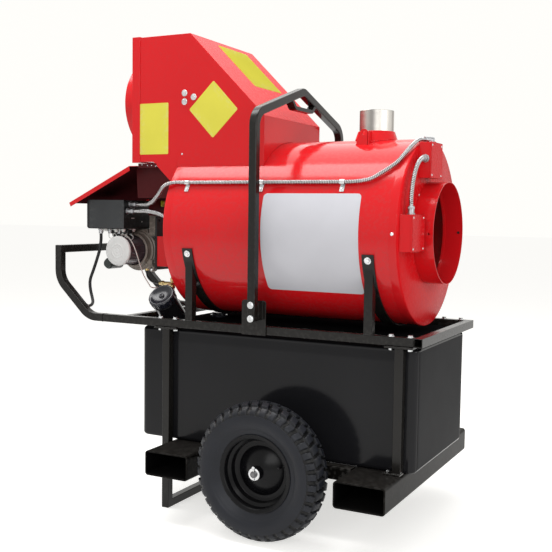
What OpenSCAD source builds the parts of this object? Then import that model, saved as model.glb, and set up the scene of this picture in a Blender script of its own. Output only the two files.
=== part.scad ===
// Indirect diesel heater on a two-wheel frame with fork pockets.
// Units are millimetres. X runs from the handle to the warm air outlet, the side with the
// control box faces -Y, and Z is up. The origin lies on the ground under the middle of the frame.

/* [Frame] */
// Length over the handle loop and the end rail
frame_len = 1292; // [1240:1:1360]
// Width over the two upper rails
frame_w = 530; // [520:1:570]
// Side of the square frame tube
tube = 25.4; // [24:0.2:28]
// Wall of the square frame tube
tube_wall = 2.1; // [1.5:0.1:3]
// Height of the top of the upper rails
rail_top = 608; // [600:1:640]
// Height of the top of the handle loop
handle_top = 829; // [810:1:880]
// Height at which the slope of the handle meets its upright
handle_knee = 715; // [700:1:730]
// Distance from the handle's end at which its slope leaves the rail
handle_reach = 140; // [130:1:150]
// Radius of the bends of the handle, on the tube's centre line
handle_bend = 75; // [50:1:80]
// Distance from the handle's end to the middle of the cross rail
cross_rail_in = 292; // [280:1:300]
// Distance from the handle's end to the middle of the left posts
left_post_in = 451; // [445:1:460]
// Distance from the end rail to the middle of the right posts
right_post_in = 67; // [60:1:75]
// Spacing of the two bolts at the head of a post
post_bolt_gap = 56; // [50:1:70]
// Thickness of the flange plates of the posts
flange_t = 6; // [4:0.5:8]
// Diameter of the frame bolts
bolt_d = 8; // [6:0.5:9]

/* [Fork pockets] */
// Outer width of a fork pocket
pocket_w = 152.4; // [140:0.1:154]
// Outer height of a fork pocket
pocket_h = 76.2; // [60:0.1:80]
// Wall of a fork pocket
pocket_wall = 4.8; // [3:0.1:7]
// Length of a fork pocket, across the heater
pocket_len = 784; // [700:1:790]
// Height of the pockets' top above the middle of the axle
axle_under = 15; // [14:0.5:20]
// Distance from the middle of the right post to the middle of the right pocket
right_pocket_in = 60; // [50:1:62]
// Side of the lower rails that join the pockets
lower_rail = 38.1; // [32:0.1:40]

/* [Wheels] */
// Diameter of a tyre
tyre_d = 406.4; // [396:0.2:410]
// Width of a tyre across its side walls
tyre_w = 116; // [100:1:120]
// Diameter of a rim over its lips
rim_d = 228; // [215:1:240]
// Distance between the outer faces of a rim's lips
rim_w = 84; // [76:1:88]
// Distance from the middle of the heater to the middle of a wheel
wheel_y = 361; // [356:0.5:366]
// Distance of the axle from the middle of the frame
axle_x = 204; // [195:1:210]
// Diameter of the axle
axle_d = 19; // [16:0.1:20]
// Length of a wheel's hub
hub_len = 80; // [72:1:86]
// Outer diameter of a wheel's hub
hub_d = 34; // [30:1:40]
// Clearance between the axle and a hub, on the radius
axle_gap = 0.08; // [0.05:0.01:0.15]
// Number of tread blocks round a tyre
tread_blocks = 34; // [24:1:40]

/* [Fuel tank] */
// Length of the tank
tank_len = 932; // [900:1:940]
// Gap between the tank and the posts, on each side
tank_gap = 1.6; // [1:0.1:6]
// Gap between the tank's top and the underside of the upper rails
tank_drop = 0.3; // [0.3:0.1:6]
// Distance from the frame's middle to the middle of the tank
tank_x = 158; // [150:1:166]
// Radius of the tank's upright corners
tank_corner = 34; // [25:1:40]
// Height of the set-back shoulder round the tank's top
shoulder_h = 41; // [34:1:48]
// Outer diameter of the filler neck
neck_d = 80; // [70:1:84]
// Length of the filler neck along its slope
neck_len = 130; // [124:1:136]
// Thickness of the filler cap's ribs and wall, outside the neck
cap_wall = 4.5; // [3.5:0.1:7]
// Height of the filler cap
cap_h = 26; // [20:1:30]

/* [Heater drum] */
// Diameter of the drum
drum_d = 559; // [550:1:560]
// Length of the drum
drum_len = 774; // [760:1:780]
// Distance from the frame's middle to the outlet end of the drum
drum_end = 574; // [570:1:580]
// Height of the drum's axis
drum_z = 893; // [893:1:905]
// Thickness of the drum's sheet
sheet = 2; // [1.5:0.1:3]
// Outer diameter of the outlet and inlet collars
collar_d = 304.8; // [290:0.1:305]
// Length of the outlet collar
collar_len = 58.6; // [50:0.1:60]
// Diameter of the combustion chamber
chamber_d = 330; // [300:1:350]
// Outer diameter of the flue stack
stack_d = 105; // [95:0.5:110]
// Distance from the drum's outlet end to the flue's axis
stack_in = 176; // [170:1:182]
// Height of the top of the flue stack
stack_top = 1262; // [1250:1:1300]

/* [Saddles] */
// Distance from the middle of the drum to a saddle
saddle_x = 298; // [290:1:300]
// Width of the curved band of a saddle
band_w = 36; // [30:1:40]
// Thickness of the curved band of a saddle
band_t = 5; // [3:0.5:6]
// Height that the band reaches above the middle of its bolts
band_top = 17; // [14:1:20]
// Angle of the saddle bolts below the drum's axis, seen from the end
saddle_angle = 15.5; // [14:0.5:18]

/* [Lifting hoop] */
// Distance from the frame's middle to the hoop
hoop_x = 140; // [135:1:145]
// Height of the outer corner of the hoop's peak
hoop_peak = 1346; // [1320:1:1380]
// Slope of the hoop's shoulders
hoop_slope = 17.5; // [14:0.5:20]
// Radius of the hoop's shoulder bends, on the tube's centre line
hoop_bend = 52; // [45:1:60]
// Height of the hoop's foot plates
foot_h = 105; // [90:1:110]
// Width of the hoop's foot plates
foot_w = 82; // [76:1:90]

/* [Fan housing] */
// Width of the fan housing
housing_w = 400; // [380:1:404]
// Height of the housing's top
housing_top = 1505; // [1490:1:1530]
// Distance from the frame's middle to the inlet end of the housing
housing_left = 352; // [345:1:356]
// Length of the flat top of the housing
housing_flat = 199; // [190:1:210]
// Height at which the sloped front ends
slope_end_z = 1240; // [1225:1:1250]
// Distance from the frame's middle to the housing's front
housing_right = 114; // [105:1:120]
// Depth of the inlet panel
panel_depth = 22; // [18:1:30]
// Height of the fan's axis
fan_z = 1307; // [1295:1:1320]
// Diameter of the fan
fan_d = 272; // [240:1:274]
// Number of fan blades
fan_blades_n = 5; // [3:1:7]

/* [Burner] */
// Height of the burner's axis
burner_z = 811.5; // [808:0.5:816]
// Distance from the drum's burner end to the blower's axis
blower_in = 259; // [255:1:262]
// Diameter of the blower scroll
scroll_d = 141; // [130:1:144]
// Width of the blower scroll
scroll_w = 90; // [80:1:96]
// Diameter of the burner motor
motor_d = 92; // [84:1:94]
// Length of the burner motor
motor_len = 115; // [105:1:120]
// Diameter of the pale motor cap
motor_cap_d = 101; // [96:1:102]
// Side of the square burner flange
flange_w = 182; // [176:1:186]
// Diameter of the blast tube
blast_d = 90; // [80:1:94]
// Height of the red burner mount
mount_h = 102; // [98:1:106]

/* [Electrics] */
// Length of the control box
control_l = 157; // [150:1:160]
// Width of the control box, across the heater
control_w = 150; // [140:1:152]
// Height of the control box
control_h = 98; // [90:1:100]
// Side of the two square junction boxes
box_side = 102; // [96:1:106]
// Depth of the two square junction boxes
box_depth = 38; // [32:1:40]
// Outer diameter of the flexible metal conduit
conduit_d = 12.7; // [11:0.1:13]
// Diameter of the power cable
cable_d = 10.5; // [9:0.1:11]
// Diameter of the fuel hose
hose_d = 8; // [7:0.1:9]
// Diameter of the sensor lead
lead_d = 4; // [3.5:0.1:4.4]

/* [Hidden] */
$fn = 64;

// Clearances between pieces
seat = 0.3;
shaft_gap = 0.08;
hole_gap = 0.4;

// Frame
x_left = -frame_len / 2;
x_right = frame_len / 2;
rail_y = (frame_w - tube) / 2;
rail_z = rail_top - tube / 2;
rail_bottom = rail_top - tube;
handle_x = x_left + tube / 2;
handle_root = x_left + handle_reach + 60;
left_post_x = x_left + left_post_in;
right_post_x = x_right - right_post_in;
post_plate_w = tube + 12;
flange_len = post_bolt_gap + 28;
axle_z = tyre_d / 2;
pocket_top = axle_z + axle_under;
pocket_z = pocket_top - pocket_h;
left_pocket_x = left_post_x + (tube + pocket_w) / 2;
right_pocket_x = right_post_x - right_pocket_in;
lower_rail_y = (frame_w - lower_rail) / 2;
lower_rail_z = pocket_top - lower_rail / 2;
hub_end = wheel_y + hub_len / 2;
axle_end = hub_end + 11;

// Hoop
hoop_leg_y = frame_w / 2 + 5 + tube * 1.5;
hoop_foot_z = rail_bottom - 1.6 + foot_h - 57;

// Tank
tank_z = pocket_top + seat;
tank_top = rail_bottom - tank_drop;
tank_h = tank_top - tank_z;
tank_w = frame_w - 2 * tube - 2 * tank_gap;
tank_wall = 5;
neck_x = drum_end - drum_len - 50;
neck_y = -118;
gauge_x = left_post_x + 31;
gauge_y = 9;

// Drum
drum_r = drum_d / 2;
drum_x1 = drum_end;
drum_x0 = drum_end - drum_len;
drum_mid = (drum_x0 + drum_x1) / 2;
end_lip = 6;
collar_r = collar_d / 2;
stack_x = drum_x1 - stack_in;
base_h = 26;
base_top = drum_z + drum_r + base_h;
box_x = drum_x1 + box_depth / 2;
upper_box_y = -68;
upper_box_z = drum_z + 211;
lower_box_y = -219;
lower_box_z = drum_z + 2.5;

// Fan housing
housing_x0 = -housing_left;
housing_y = housing_w / 2;
floor_z = drum_z + 213;
panel_x = housing_x0 - panel_depth;
inlet_x = panel_x - 66;
motor_x = housing_x0 + 112;
fan_motor_d = 130;
fan_motor_len = 150;
fan_shaft_d = 14;

// Burner
blower_x = drum_x0 - blower_in;
mount_x0 = drum_x0 - 152;
flange_x = mount_x0 - 8 - seat;
flange_z = burner_z + 27.5;
motor_y = -scroll_w / 2 - seat;
motor_end = motor_y - motor_len;
burner_shaft_d = 12;
control_x0 = blower_x - 132;
control_y1 = -15;
control_y0 = control_y1 - control_w;
control_z0 = burner_z + scroll_d / 2 + 3;
control_z1 = control_z0 + control_h;
gland_places = [for (q = [[-343, -150], [-308, -144], [-274, -138]]) q + [drum_x0, 0]];

// Routes, as points on the middle of each cord or conduit, measured from the piece they start at
function moved(points, by) = [for (p = points) p + by];
main_route = concat(
    moved([[-206, -132, 75], [-185, -133, 75], [-145, -156, 76], [-110, -190, 80],
        [-81, -214, 86], [-48, -232, 107], [-10, -254, 134], [24, -250, 144],
        [72, -249, 144], [200, -249, 144], [333, -249, 144]], [drum_x0, 0, drum_z]),
    moved([[-314, -249, 144], [-180, -249, 144], [-139, -249, 145], [-99, -245, 152],
        [-73, -235, 167], [-49, -221, 185], [-32, -205, 202], [-21, -181, 225],
        [-14, -158, 243], [-9, -134, 258], [-4, -113, 268], [2, -101, 271],
        [8, -93, 271]], [drum_x1, 0, drum_z]));
drum_entry = [drum_x0, -200, drum_z + 32];
drum_route = moved([[-206, 53, 21], [-188, 52, 21], [-150, 35, 22], [-111, 15, 20],
    [-70, 3, 13], [-40, 0, 3], [-24, 0, 0]], drum_entry);
link_route = moved([[21, -141, 215], [21, -156, 213], [20, -182, 199], [19, -206, 172],
    [19, -224, 137], [20, -235, 102], [21, -237, 78]], [drum_x1, 0, drum_z]);
cable_route = concat(
    moved([[-343, -150, 868.2], [-343, -150, 846], [-349, -150, 812], [-361, -151, 776],
        [-374, -152, 742]], [drum_x0, 0, 0]),
    moved([[61, -155, 710], [61, -157, 687], [69, -162, 666], [81, -170, 648],
        [95, -184, 635], [106, -206, 627], [110, -235.7, 623.5]], [x_left, 0, 0]));
cable_end = cable_route[len(cable_route) - 1];
pump_hose_route = moved([[-230, -38, 740], [-230, -38, 729], [-222, -42, 716],
    [-202, -50, 705], [-180, -57, 701], [-162, -60, 701]], [drum_x0, 0, 0]);
tank_hose_route = moved([[-108, -60, 680], [-108, -60, 668], [-103, -56, 650],
    [-90, -46, 638], [-74, -34, 629], [-66, -24, 618], [-64, -20, 602]], [drum_x0, 0, 0]);
tank_hose_end = tank_hose_route[len(tank_hose_route) - 1];
lead_route = moved([[-274, -138, 866], [-268, -140, 864], [-255, -145, 866],
    [-236, -148, 862], [-215, -150, 845], [-201, -150, 822], [-191, -148, 795],
    [-183, -144, 765], [-172, -140, 733], [-153, -138, 705], [-139, -138, 692],
    [-122, -118, 692], [-111, -98, 697], [-108, -84, 701], [-108, -75, 701]],
    [drum_x0, 0, 0]);

// Turns a plane vector by an angle
function turned(v, a) = [v[0] * cos(a) - v[1] * sin(a), v[0] * sin(a) + v[1] * cos(a)];
function unit(v) = v / norm(v);
function left_of(v) = [-v[1], v[0]];

// Points and directions round one bend of a plane path
function bend(p0, p1, p2, r, steps = 10) =
    let (
        a = unit(p1 - p0),
        b = unit(p2 - p1),
        angle = acos(a * b),
        side = sign(a[0] * b[1] - a[1] * b[0]),
        start = p1 - a * r * tan(angle / 2),
        centre = start + side * r * left_of(a)
    )
    [for (i = [0:steps])
        let (w = side * angle * i / steps)
        [centre - side * r * turned(left_of(a), w), turned(a, w)]];

// Points and directions along a plane path with a bend at each inner point
function track(points, radii) =
    let (last = len(points) - 1)
    concat(
        [[points[0], unit(points[1] - points[0])]],
        [for (i = [1:last - 1]) each bend(points[i - 1], points[i], points[i + 1], radii[i - 1])],
        [[points[last], unit(points[last] - points[last - 1])]]
    );

// Plane strip of even width along a path; reach lengthens it at both ends
module band(points, radii, width, reach = 0) {
    steps = track(points, radii);
    last = len(steps) - 1;
    ends = [for (i = [0:last])
        steps[i][0] + (i == 0 ? -reach : i == last ? reach : 0) * steps[i][1]];
    polygon(concat(
        [for (i = [0:last]) ends[i] + width / 2 * left_of(steps[i][1])],
        [for (i = [last:-1:0]) ends[i] - width / 2 * left_of(steps[i][1])]
    ));
}

// Smooth curve through a list of points, as evenly spaced steps
function curve_point(p, i, t) =
    let (
        last = len(p) - 1,
        a = p[max(i - 1, 0)],
        b = p[i],
        c = p[i + 1],
        d = p[min(i + 2, last)]
    )
    b + t / 2 * ((c - a) + t * ((2 * a - 5 * b + 4 * c - d) + t * (3 * (b - c) + d - a)));
function curve(p, steps = 8) =
    [for (i = [0:len(p) - 2], k = [0:steps - 1]) curve_point(p, i, k / steps), p[len(p) - 1]];
function lengths(p) =
    [for (i = 0, s = 0; i < len(p); s = s + (i + 1 < len(p) ? norm(p[i + 1] - p[i]) : 0), i = i + 1) s];
function at_length(p, s, along) =
    let (i = min(max([for (k = [0:len(p) - 1]) along[k] <= s + 1e-6 ? k : 0]), len(p) - 2))
    p[i] + (p[i + 1] - p[i]) * (s - along[i]) / (along[i + 1] - along[i]);
function even_steps(p, count) =
    let (fine = curve(p), along = lengths(fine), total = along[len(along) - 1])
    [for (k = [0:count]) at_length(fine, total * k / count, along)];
function carried(u, t) = unit(u - (u * t) * t);
function tangents(p) =
    [for (i = [0:len(p) - 1]) unit(p[min(i + 1, len(p) - 1)] - p[max(i - 1, 0)])];
function side_vectors(t) =
    [for (i = 0, u = carried([0.1, 0.2, 1], t[0]); i < len(t);
        u = carried(u, t[min(i + 1, len(t) - 1)]), i = i + 1) u];

// One unbroken tube through the rings; with a bore it is open from end to end
module swept(path, radii, sides, bore = 0) {
    t = tangents(path);
    u = side_vectors(t);
    n = len(path);
    rings = [for (i = [0:n - 1]) [i, radii[i]]];
    bores = bore > 0 ? [for (i = [n - 1:-1:0]) [i, bore]] : [];
    all = concat(rings, bores);
    m = len(all);
    points = [for (q = all, k = [0:sides - 1])
        path[q[0]] + q[1] * (cos(360 * k / sides) * u[q[0]]
            + sin(360 * k / sides) * cross(t[q[0]], u[q[0]]))];
    joins = bore > 0 ? m : m - 1;
    walls = [for (i = [0:joins - 1], k = [0:sides - 1])
        let (a = i * sides + k, b = i * sides + (k + 1) % sides, next = ((i + 1) % m) * sides)
        each [[a, next + k, b], [b, next + k, next + (k + 1) % sides]]];
    caps = bore > 0 ? [] : [for (k = [1:sides - 2])
        each [[0, k, k + 1], [(m - 1) * sides, (m - 1) * sides + k + 1, (m - 1) * sides + k]]];
    polyhedron(points, concat(walls, caps));
}

// Flexible metal conduit: ribs at an even pitch, straight plain ends and an open bore
module conduit(route, pitch) {
    fine = curve(route);
    total = lengths(fine)[len(fine) - 1];
    ribs = floor((total - 24) / pitch);
    path = even_steps(route, 2 * ribs + 4);
    last = len(path) - 1;
    radii = [for (i = [0:last])
        i < 2 || i > last - 2 ? conduit_d / 2 - 0.6 : conduit_d / 2 - (i % 2 == 0 ? 0 : 1.2)];
    swept(path, radii, 8, conduit_d / 2 - 2.4);
}
module cord(route, d, sides, rings) {
    path = even_steps(route, rings);
    swept(path, [for (p = path) d / 2], sides);
}

// Sheet drawn in the XZ plane and carried along Y, or in the YZ plane and carried along X
module along_y(h) rotate([90, 0, 0]) linear_extrude(h, center = true) children();
module along_x(h) rotate([90, 0, 90]) linear_extrude(h, center = true) children();
module rod_y(d, h) rotate([90, 0, 0]) cylinder(d = d, h = h, center = true);
module rod_x(d, h) rotate([0, 90, 0]) cylinder(d = d, h = h, center = true);
module tube_y(d, wall, h) rotate([90, 0, 0]) tube_z(d, wall, h);
module tube_x(d, wall, h) rotate([0, 90, 0]) tube_z(d, wall, h);
module tube_z(d, wall, h) linear_extrude(h, center = true) difference() {
    circle(d = d);
    circle(d = d - 2 * wall);
}
module square_ring(side, wall) difference() {
    square(side, center = true);
    square(side - 2 * wall, center = true);
}
module rounded(w, h, r) {
    square([w - 2 * r, h], center = true);
    square([w, h - 2 * r], center = true);
    for (x = [-1, 1], y = [-1, 1]) translate([x * (w / 2 - r), y * (h / 2 - r)]) circle(r);
}
module both_sides() {
    children();
    mirror([0, 1, 0]) children();
}
// Box from its lowest to its highest corner
module block(low, high) translate(low) cube(high - low);
// Bolt with a flanged hexagon head at the origin, shank down, and a nut at the given depth
module flange_bolt(shank, nut_at = 0) {
    cylinder(d = 2.6 * bolt_d, h = 1.6);
    cylinder(d = 1.9 * bolt_d, h = 0.8 * bolt_d, $fn = 6);
    translate([0, 0, -shank]) cylinder(d = bolt_d, h = shank);
    if (nut_at > 0) translate([0, 0, -nut_at - 0.8 * bolt_d])
        cylinder(d = 1.9 * bolt_d, h = 0.8 * bolt_d, $fn = 6);
}
module screw_head(d) {
    cylinder(d = d, h = d * 0.2);
    cylinder(d = d * 0.7, h = d * 0.42);
}

// Upper frame: two rails, the end rail and cross rail, and the handle loop
module side_rails() color("#2b2b2d") both_sides() difference() {
    translate([(handle_root + x_right - tube) / 2, rail_y, rail_z])
        along_x(x_right - tube - handle_root) square_ring(tube, tube_wall);
    for (x = [left_post_x, right_post_x], s = [-1, 1])
        translate([x + s * post_bolt_gap / 2, rail_y, rail_z])
            cylinder(d = bolt_d + hole_gap, h = tube + 2, center = true);
}
module cross_rails() color("#2b2b2d") {
    translate([x_right - tube / 2, 0, rail_z]) rotate([0, 0, 90])
        along_x(frame_w) square_ring(tube, tube_wall);
    translate([x_left + cross_rail_in, 0, rail_z]) rotate([0, 0, 90])
        along_x(frame_w - 2 * tube) square_ring(tube, tube_wall);
}
module at_grommet() translate([cable_end[0], tube - frame_w / 2, cable_end[2]]) children();
module handle() color("#2b2b2d") {
    side = [[handle_root, rail_z], [x_left + handle_reach, rail_z],
        [handle_x, handle_knee], [handle_x, handle_top - tube]];
    bends = [handle_bend, handle_bend];
    inside = tube - 2 * tube_wall;
    difference() {
        union() {
            both_sides() translate([0, rail_y, 0]) along_y(tube) band(side, bends, tube);
            translate([handle_x, 0, handle_top - tube / 2])
                cube([tube, frame_w, tube], center = true);
        }
        both_sides() translate([0, rail_y, 0]) along_y(inside) band(side, bends, inside, 4);
        translate([handle_x, 0, handle_top - tube / 2])
            cube([inside, frame_w - 2 * tube_wall, inside], center = true);
        at_grommet() rod_y(cable_d + 8, 8);
    }
}

// Posts, stand and fork pockets
module post_flange(x) translate([x, rail_y, rail_bottom - flange_t / 2]) difference() {
    cube([flange_len, post_plate_w, flange_t], center = true);
    for (s = [-1, 1]) translate([s * post_bolt_gap / 2, 0, 0])
        cylinder(d = bolt_d + hole_gap, h = flange_t + 2, center = true);
}
module stand_frame() color("#2b2b2d") {
    inside = tube - 2 * tube_wall;
    top = rail_bottom - flange_t;
    both_sides() post_flange(left_post_x);
    difference() {
        union() {
            both_sides() translate([left_post_x, rail_y, top / 2])
                cube([tube, tube, top], center = true);
            translate([left_post_x, 0, tube / 2]) cube([tube, frame_w, tube], center = true);
        }
        both_sides() translate([left_post_x, rail_y, top / 2 + tube_wall])
            cube([inside, inside, top], center = true);
        translate([left_post_x, 0, tube / 2])
            cube([inside, frame_w - 2 * tube_wall, inside], center = true);
    }
}
module right_posts() color("#2b2b2d") both_sides() {
    low = pocket_top + flange_t;
    high = rail_bottom - flange_t;
    post_flange(right_post_x);
    translate([right_post_x, rail_y, (low + high) / 2]) linear_extrude(high - low, center = true)
        square_ring(tube, tube_wall);
    translate([right_post_x - 12, rail_y + 3, pocket_top + flange_t / 2]) difference() {
        cube([50, tube + 6, flange_t], center = true);
        translate([-15, 0, 0]) cylinder(d = bolt_d - 2 + hole_gap, h = flange_t + 2, center = true);
    }
}
module fork_pocket(x) color("#232325") translate([x, 0, pocket_z + pocket_h / 2])
    along_y(pocket_len) difference() {
        rounded(pocket_w, pocket_h, 10);
        rounded(pocket_w - 2 * pocket_wall, pocket_h - 2 * pocket_wall, 10 - pocket_wall);
    }
module left_fork_pocket() fork_pocket(left_pocket_x);
module right_fork_pocket() fork_pocket(right_pocket_x);
module lower_rails() color("#232325") {
    x0 = left_pocket_x + pocket_w / 2;
    x1 = right_pocket_x - pocket_w / 2;
    both_sides() difference() {
        translate([(x0 + x1) / 2, lower_rail_y, lower_rail_z])
            along_x(x1 - x0) square_ring(lower_rail, 3);
        translate([axle_x, lower_rail_y, axle_z]) rod_y(axle_d + hole_gap, lower_rail + 2);
    }
}

// Lifting hoop on its foot plates
module hoop_feet() color("#2b2b2d") {
    x1 = hoop_x + 24;
    low = rail_bottom - 1.6;
    stub_h = 57;
    both_sides() difference() {
        union() {
            translate([0, frame_w / 2 + 2.5, 0]) along_y(5) {
                translate([x1 - foot_w / 2, low + foot_h / 2]) rounded(foot_w, foot_h, 9);
                translate([x1 - foot_w, low]) square([foot_w, foot_h / 2]);
            }
            translate([hoop_x, frame_w / 2 + 5 + tube / 2, low + foot_h - stub_h / 2])
                cube([tube, tube, stub_h], center = true);
        }
        translate([hoop_x, frame_w / 2 + 5 + tube / 2, low + foot_h - stub_h / 2])
            cube([tube - 2 * tube_wall, tube - 2 * tube_wall, stub_h + 2], center = true);
        hoop_bolt_places() rod_y(bolt_d + hole_gap, 120);
    }
}
module hoop_bolt_places() for (z = [10, 50])
    translate([hoop_x, hoop_leg_y, rail_bottom - 1.6 + foot_h - z]) children();
module lifting_hoop() color("#2b2b2d") {
    inside = tube - 2 * tube_wall;
    peak = hoop_peak - tube / 2 / cos(hoop_slope);
    shoulder = peak - hoop_leg_y * tan(hoop_slope);
    line = [[-hoop_leg_y, hoop_foot_z], [-hoop_leg_y, shoulder], [0, peak],
        [hoop_leg_y, shoulder], [hoop_leg_y, hoop_foot_z]];
    bends = [hoop_bend, 40, hoop_bend];
    translate([hoop_x, 0, 0]) difference() {
        along_x(tube) band(line, bends, tube);
        along_x(inside) band(line, bends, inside, 2);
        translate([-hoop_x, 0, 0]) both_sides() hoop_bolt_places() rod_y(bolt_d + hole_gap, 80);
    }
}
module lifting_eye() color("#2b2b2d") {
    under = hoop_peak - tube / cos(hoop_slope);
    flat = 60;
    bar_t = 12;
    low = under - 44;
    rise = under - 85 * tan(hoop_slope);
    translate([hoop_x, 0, 0]) along_x(tube) difference() {
        band([[-96, rise + 14], [-flat, low], [flat, low], [96, rise + 14]], [14, 14], bar_t);
        polygon([[-140, under - 140 * tan(hoop_slope)], [0, under], [140, under - 140 * tan(hoop_slope)],
            [140, under + 60], [-140, under + 60]]);
    }
}

// Saddles under the drum
module saddle(x) color("#2b2b2d") {
    inner = drum_r + seat;
    outer = inner + band_t;
    top = drum_z - outer * sin(saddle_angle) + band_top;
    translate([x, 0, 0]) difference() {
        union() {
            translate([0, 0, drum_z]) rod_x(2 * outer, band_w);
            both_sides() translate([0, rail_y, (rail_top + drum_z - 80) / 2])
                cube([tube, tube, drum_z - 80 - rail_top], center = true);
        }
        translate([0, 0, drum_z]) rod_x(2 * inner, band_w + 2);
        block([-band_w, -outer - 20, top], [band_w, outer + 20, drum_z + outer + 20]);
        both_sides() translate([0, rail_y, (rail_top + drum_z - 160) / 2])
            cube([tube - 2 * tube_wall, tube - 2 * tube_wall, drum_z - 160 - rail_top + 4],
                center = true);
        for (s = [-1, 1]) saddle_place(0, s) cylinder(d = bolt_d + hole_gap, h = 30, center = true);
    }
}
// Radial place on the outside of a saddle's band; side -1 is the near side
module saddle_place(x, side) translate([x, 0, drum_z])
    rotate([side < 0 ? saddle_angle : -saddle_angle, 0, 0]) mirror([0, side < 0 ? 0 : 1, 0])
    translate([0, -drum_r - seat - band_t, 0]) rotate([90, 0, 0]) children();
module left_saddle() saddle(drum_mid - saddle_x);
module right_saddle() saddle(drum_mid + saddle_x);
module frame_bolts() color("#c8cacc") {
    both_sides() {
        for (x = [left_post_x, right_post_x], s = [-1, 1])
            translate([x + s * post_bolt_gap / 2, rail_y, rail_top])
                flange_bolt(tube + flange_t + 0.8 * bolt_d + 1, tube + flange_t);
        translate([right_post_x - 27, rail_y + 3, pocket_top + flange_t]) {
            cylinder(d = 13, h = 5, $fn = 6);
            translate([0, 0, -flange_t]) cylinder(d = bolt_d - 2, h = flange_t);
        }
        hoop_bolt_places() translate([0, tube / 2, 0]) rotate([-90, 0, 0])
            flange_bolt(2 * tube + 6 + 0.8 * bolt_d, 2 * tube + 5);
    }
    for (x = [drum_mid - saddle_x, drum_mid + saddle_x], s = [-1, 1])
        saddle_place(x, s) flange_bolt(band_t + 1, 0);
}

// Wheels and axle
module at_axle() translate([axle_x, 0, axle_z]) children();
module axle() color("#9a9da0") at_axle() difference() {
    union() {
        rod_y(axle_d, 2 * axle_end - 4);
        rod_y(axle_d - 4, 2 * axle_end);
    }
    for (s = [-1, 1]) translate([0, s * (hub_end + 6), 0]) cylinder(d = 4.4, h = axle_d + 2, center = true);
}
module axle_fasteners() color("#b9bcbf") both_sides() at_axle() {
    translate([0, hub_end + 1.8, 0]) tube_y(36, (36 - axle_d - hole_gap) / 2, 3);
    translate([0, hub_end + 6, 0]) {
        cylinder(d = 4, h = axle_d + 14, center = true);
        translate([0, 0, axle_d / 2 + 10]) rod_y(9, 5);
    }
    spacer = hub_end - hub_len - frame_w / 2 - 2 * seat;
    translate([0, frame_w / 2 + seat + spacer / 2, 0])
        tube_y(27, (27 - axle_d - hole_gap) / 2, spacer);
}
module tyre() {
    lip = rim_d / 2;
    half = rim_w / 2;
    bead = [[half - 20, lip - 13 + seat], [half - 4 - seat, lip - 13 + seat],
        [half - 2 - seat, lip + seat], [half + 1, lip + 5]];
    mid_r = (tyre_d / 2 + lip - 10) / 2 + 4;
    crown = tyre_d / 2 - mid_r;
    outside = [for (a = [-36:9:216])
        [tyre_w / 2 * cos(a), mid_r + crown * sin(a)]];
    far_bead = [for (i = [3:-1:0]) [-bead[i][0], bead[i][1]]];
    inside = [for (a = [216:-12:-36])
        [(tyre_w / 2 - 8) * cos(a), mid_r + (crown - (a > 0 && a < 180 ? 12 : 8)) * sin(a)]];
    difference() {
        rotate([90, 0, 0]) rotate_extrude($fn = 96) rotate([0, 0, -90]) mirror([1, 0, 0])
            polygon(concat(bead, outside, far_bead, inside));
        for (s = [-1, 1]) translate([0, s * 15, 0]) tube_y(tyre_d + 4, 6, 5);
        for (k = [0:tread_blocks - 1], s = [-1, 1])
            rotate([0, 360 * (k + (s > 0 ? 0.5 : 0)) / tread_blocks, 0])
                translate([0, s * 36, tyre_d / 2]) rotate([s * 38, 0, 0])
                    cube([9, 26, 22], center = true);
    }
}
module near_tyre() color("#26272a") at_axle() translate([0, -wheel_y, 0]) tyre();
module far_tyre() color("#26272a") at_axle() translate([0, wheel_y, 0]) mirror([0, 1, 0]) tyre();
// Rim, its cone disc and the hub; the open side with the cone faces -Y
module rim() {
    lip = rim_d / 2;
    half = rim_w / 2;
    well = lip - 24;
    t = 3;
    bore = axle_d / 2 + axle_gap;
    difference() {
        rotate([90, 0, 0]) rotate_extrude($fn = 96) {
            polygon([[well, 14], [lip - 13, 20], [lip - 13, half - 4], [lip, half - 2], [lip, half],
                [lip - 15, half - 1], [lip - 15, 22], [well - 2, 17], [well - 2, -16],
                [lip - 15, -22], [lip - 15, 1 - half], [lip, -half], [lip, 2 - half],
                [lip - 13, 4 - half], [lip - 13, -20], [well, -14]]);
            polygon([[well - 1, -6], [well - 1, -2], [74, -2], [66, 22], [52, 24], [hub_d / 2 - 2, 30],
                [hub_d / 2 - 2, 26], [51, 20], [63, 18], [71, -6]]);
            translate([bore, -hub_len / 2]) square([hub_d / 2 - bore, hub_len]);
        }
        rotate([0, 35, 0]) translate([well - 4, 0, 0]) rotate([0, 90, 0]) cylinder(d = 11, h = 12);
    }
    rotate([0, 35, 0]) translate([well - 4, 0, 0]) rotate([90, 0, 0]) union() {
        rotate([0, 90, 0]) cylinder(d = 11, h = 6);
        rotate([0, -20, 0]) cylinder(d = 8, h = 34);
    }
}
module near_rim() color("#1d1e20") at_axle() translate([0, -wheel_y, 0]) rim();
module far_rim() color("#1d1e20") at_axle() translate([0, wheel_y, 0]) mirror([0, 1, 0]) rim();

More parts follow.
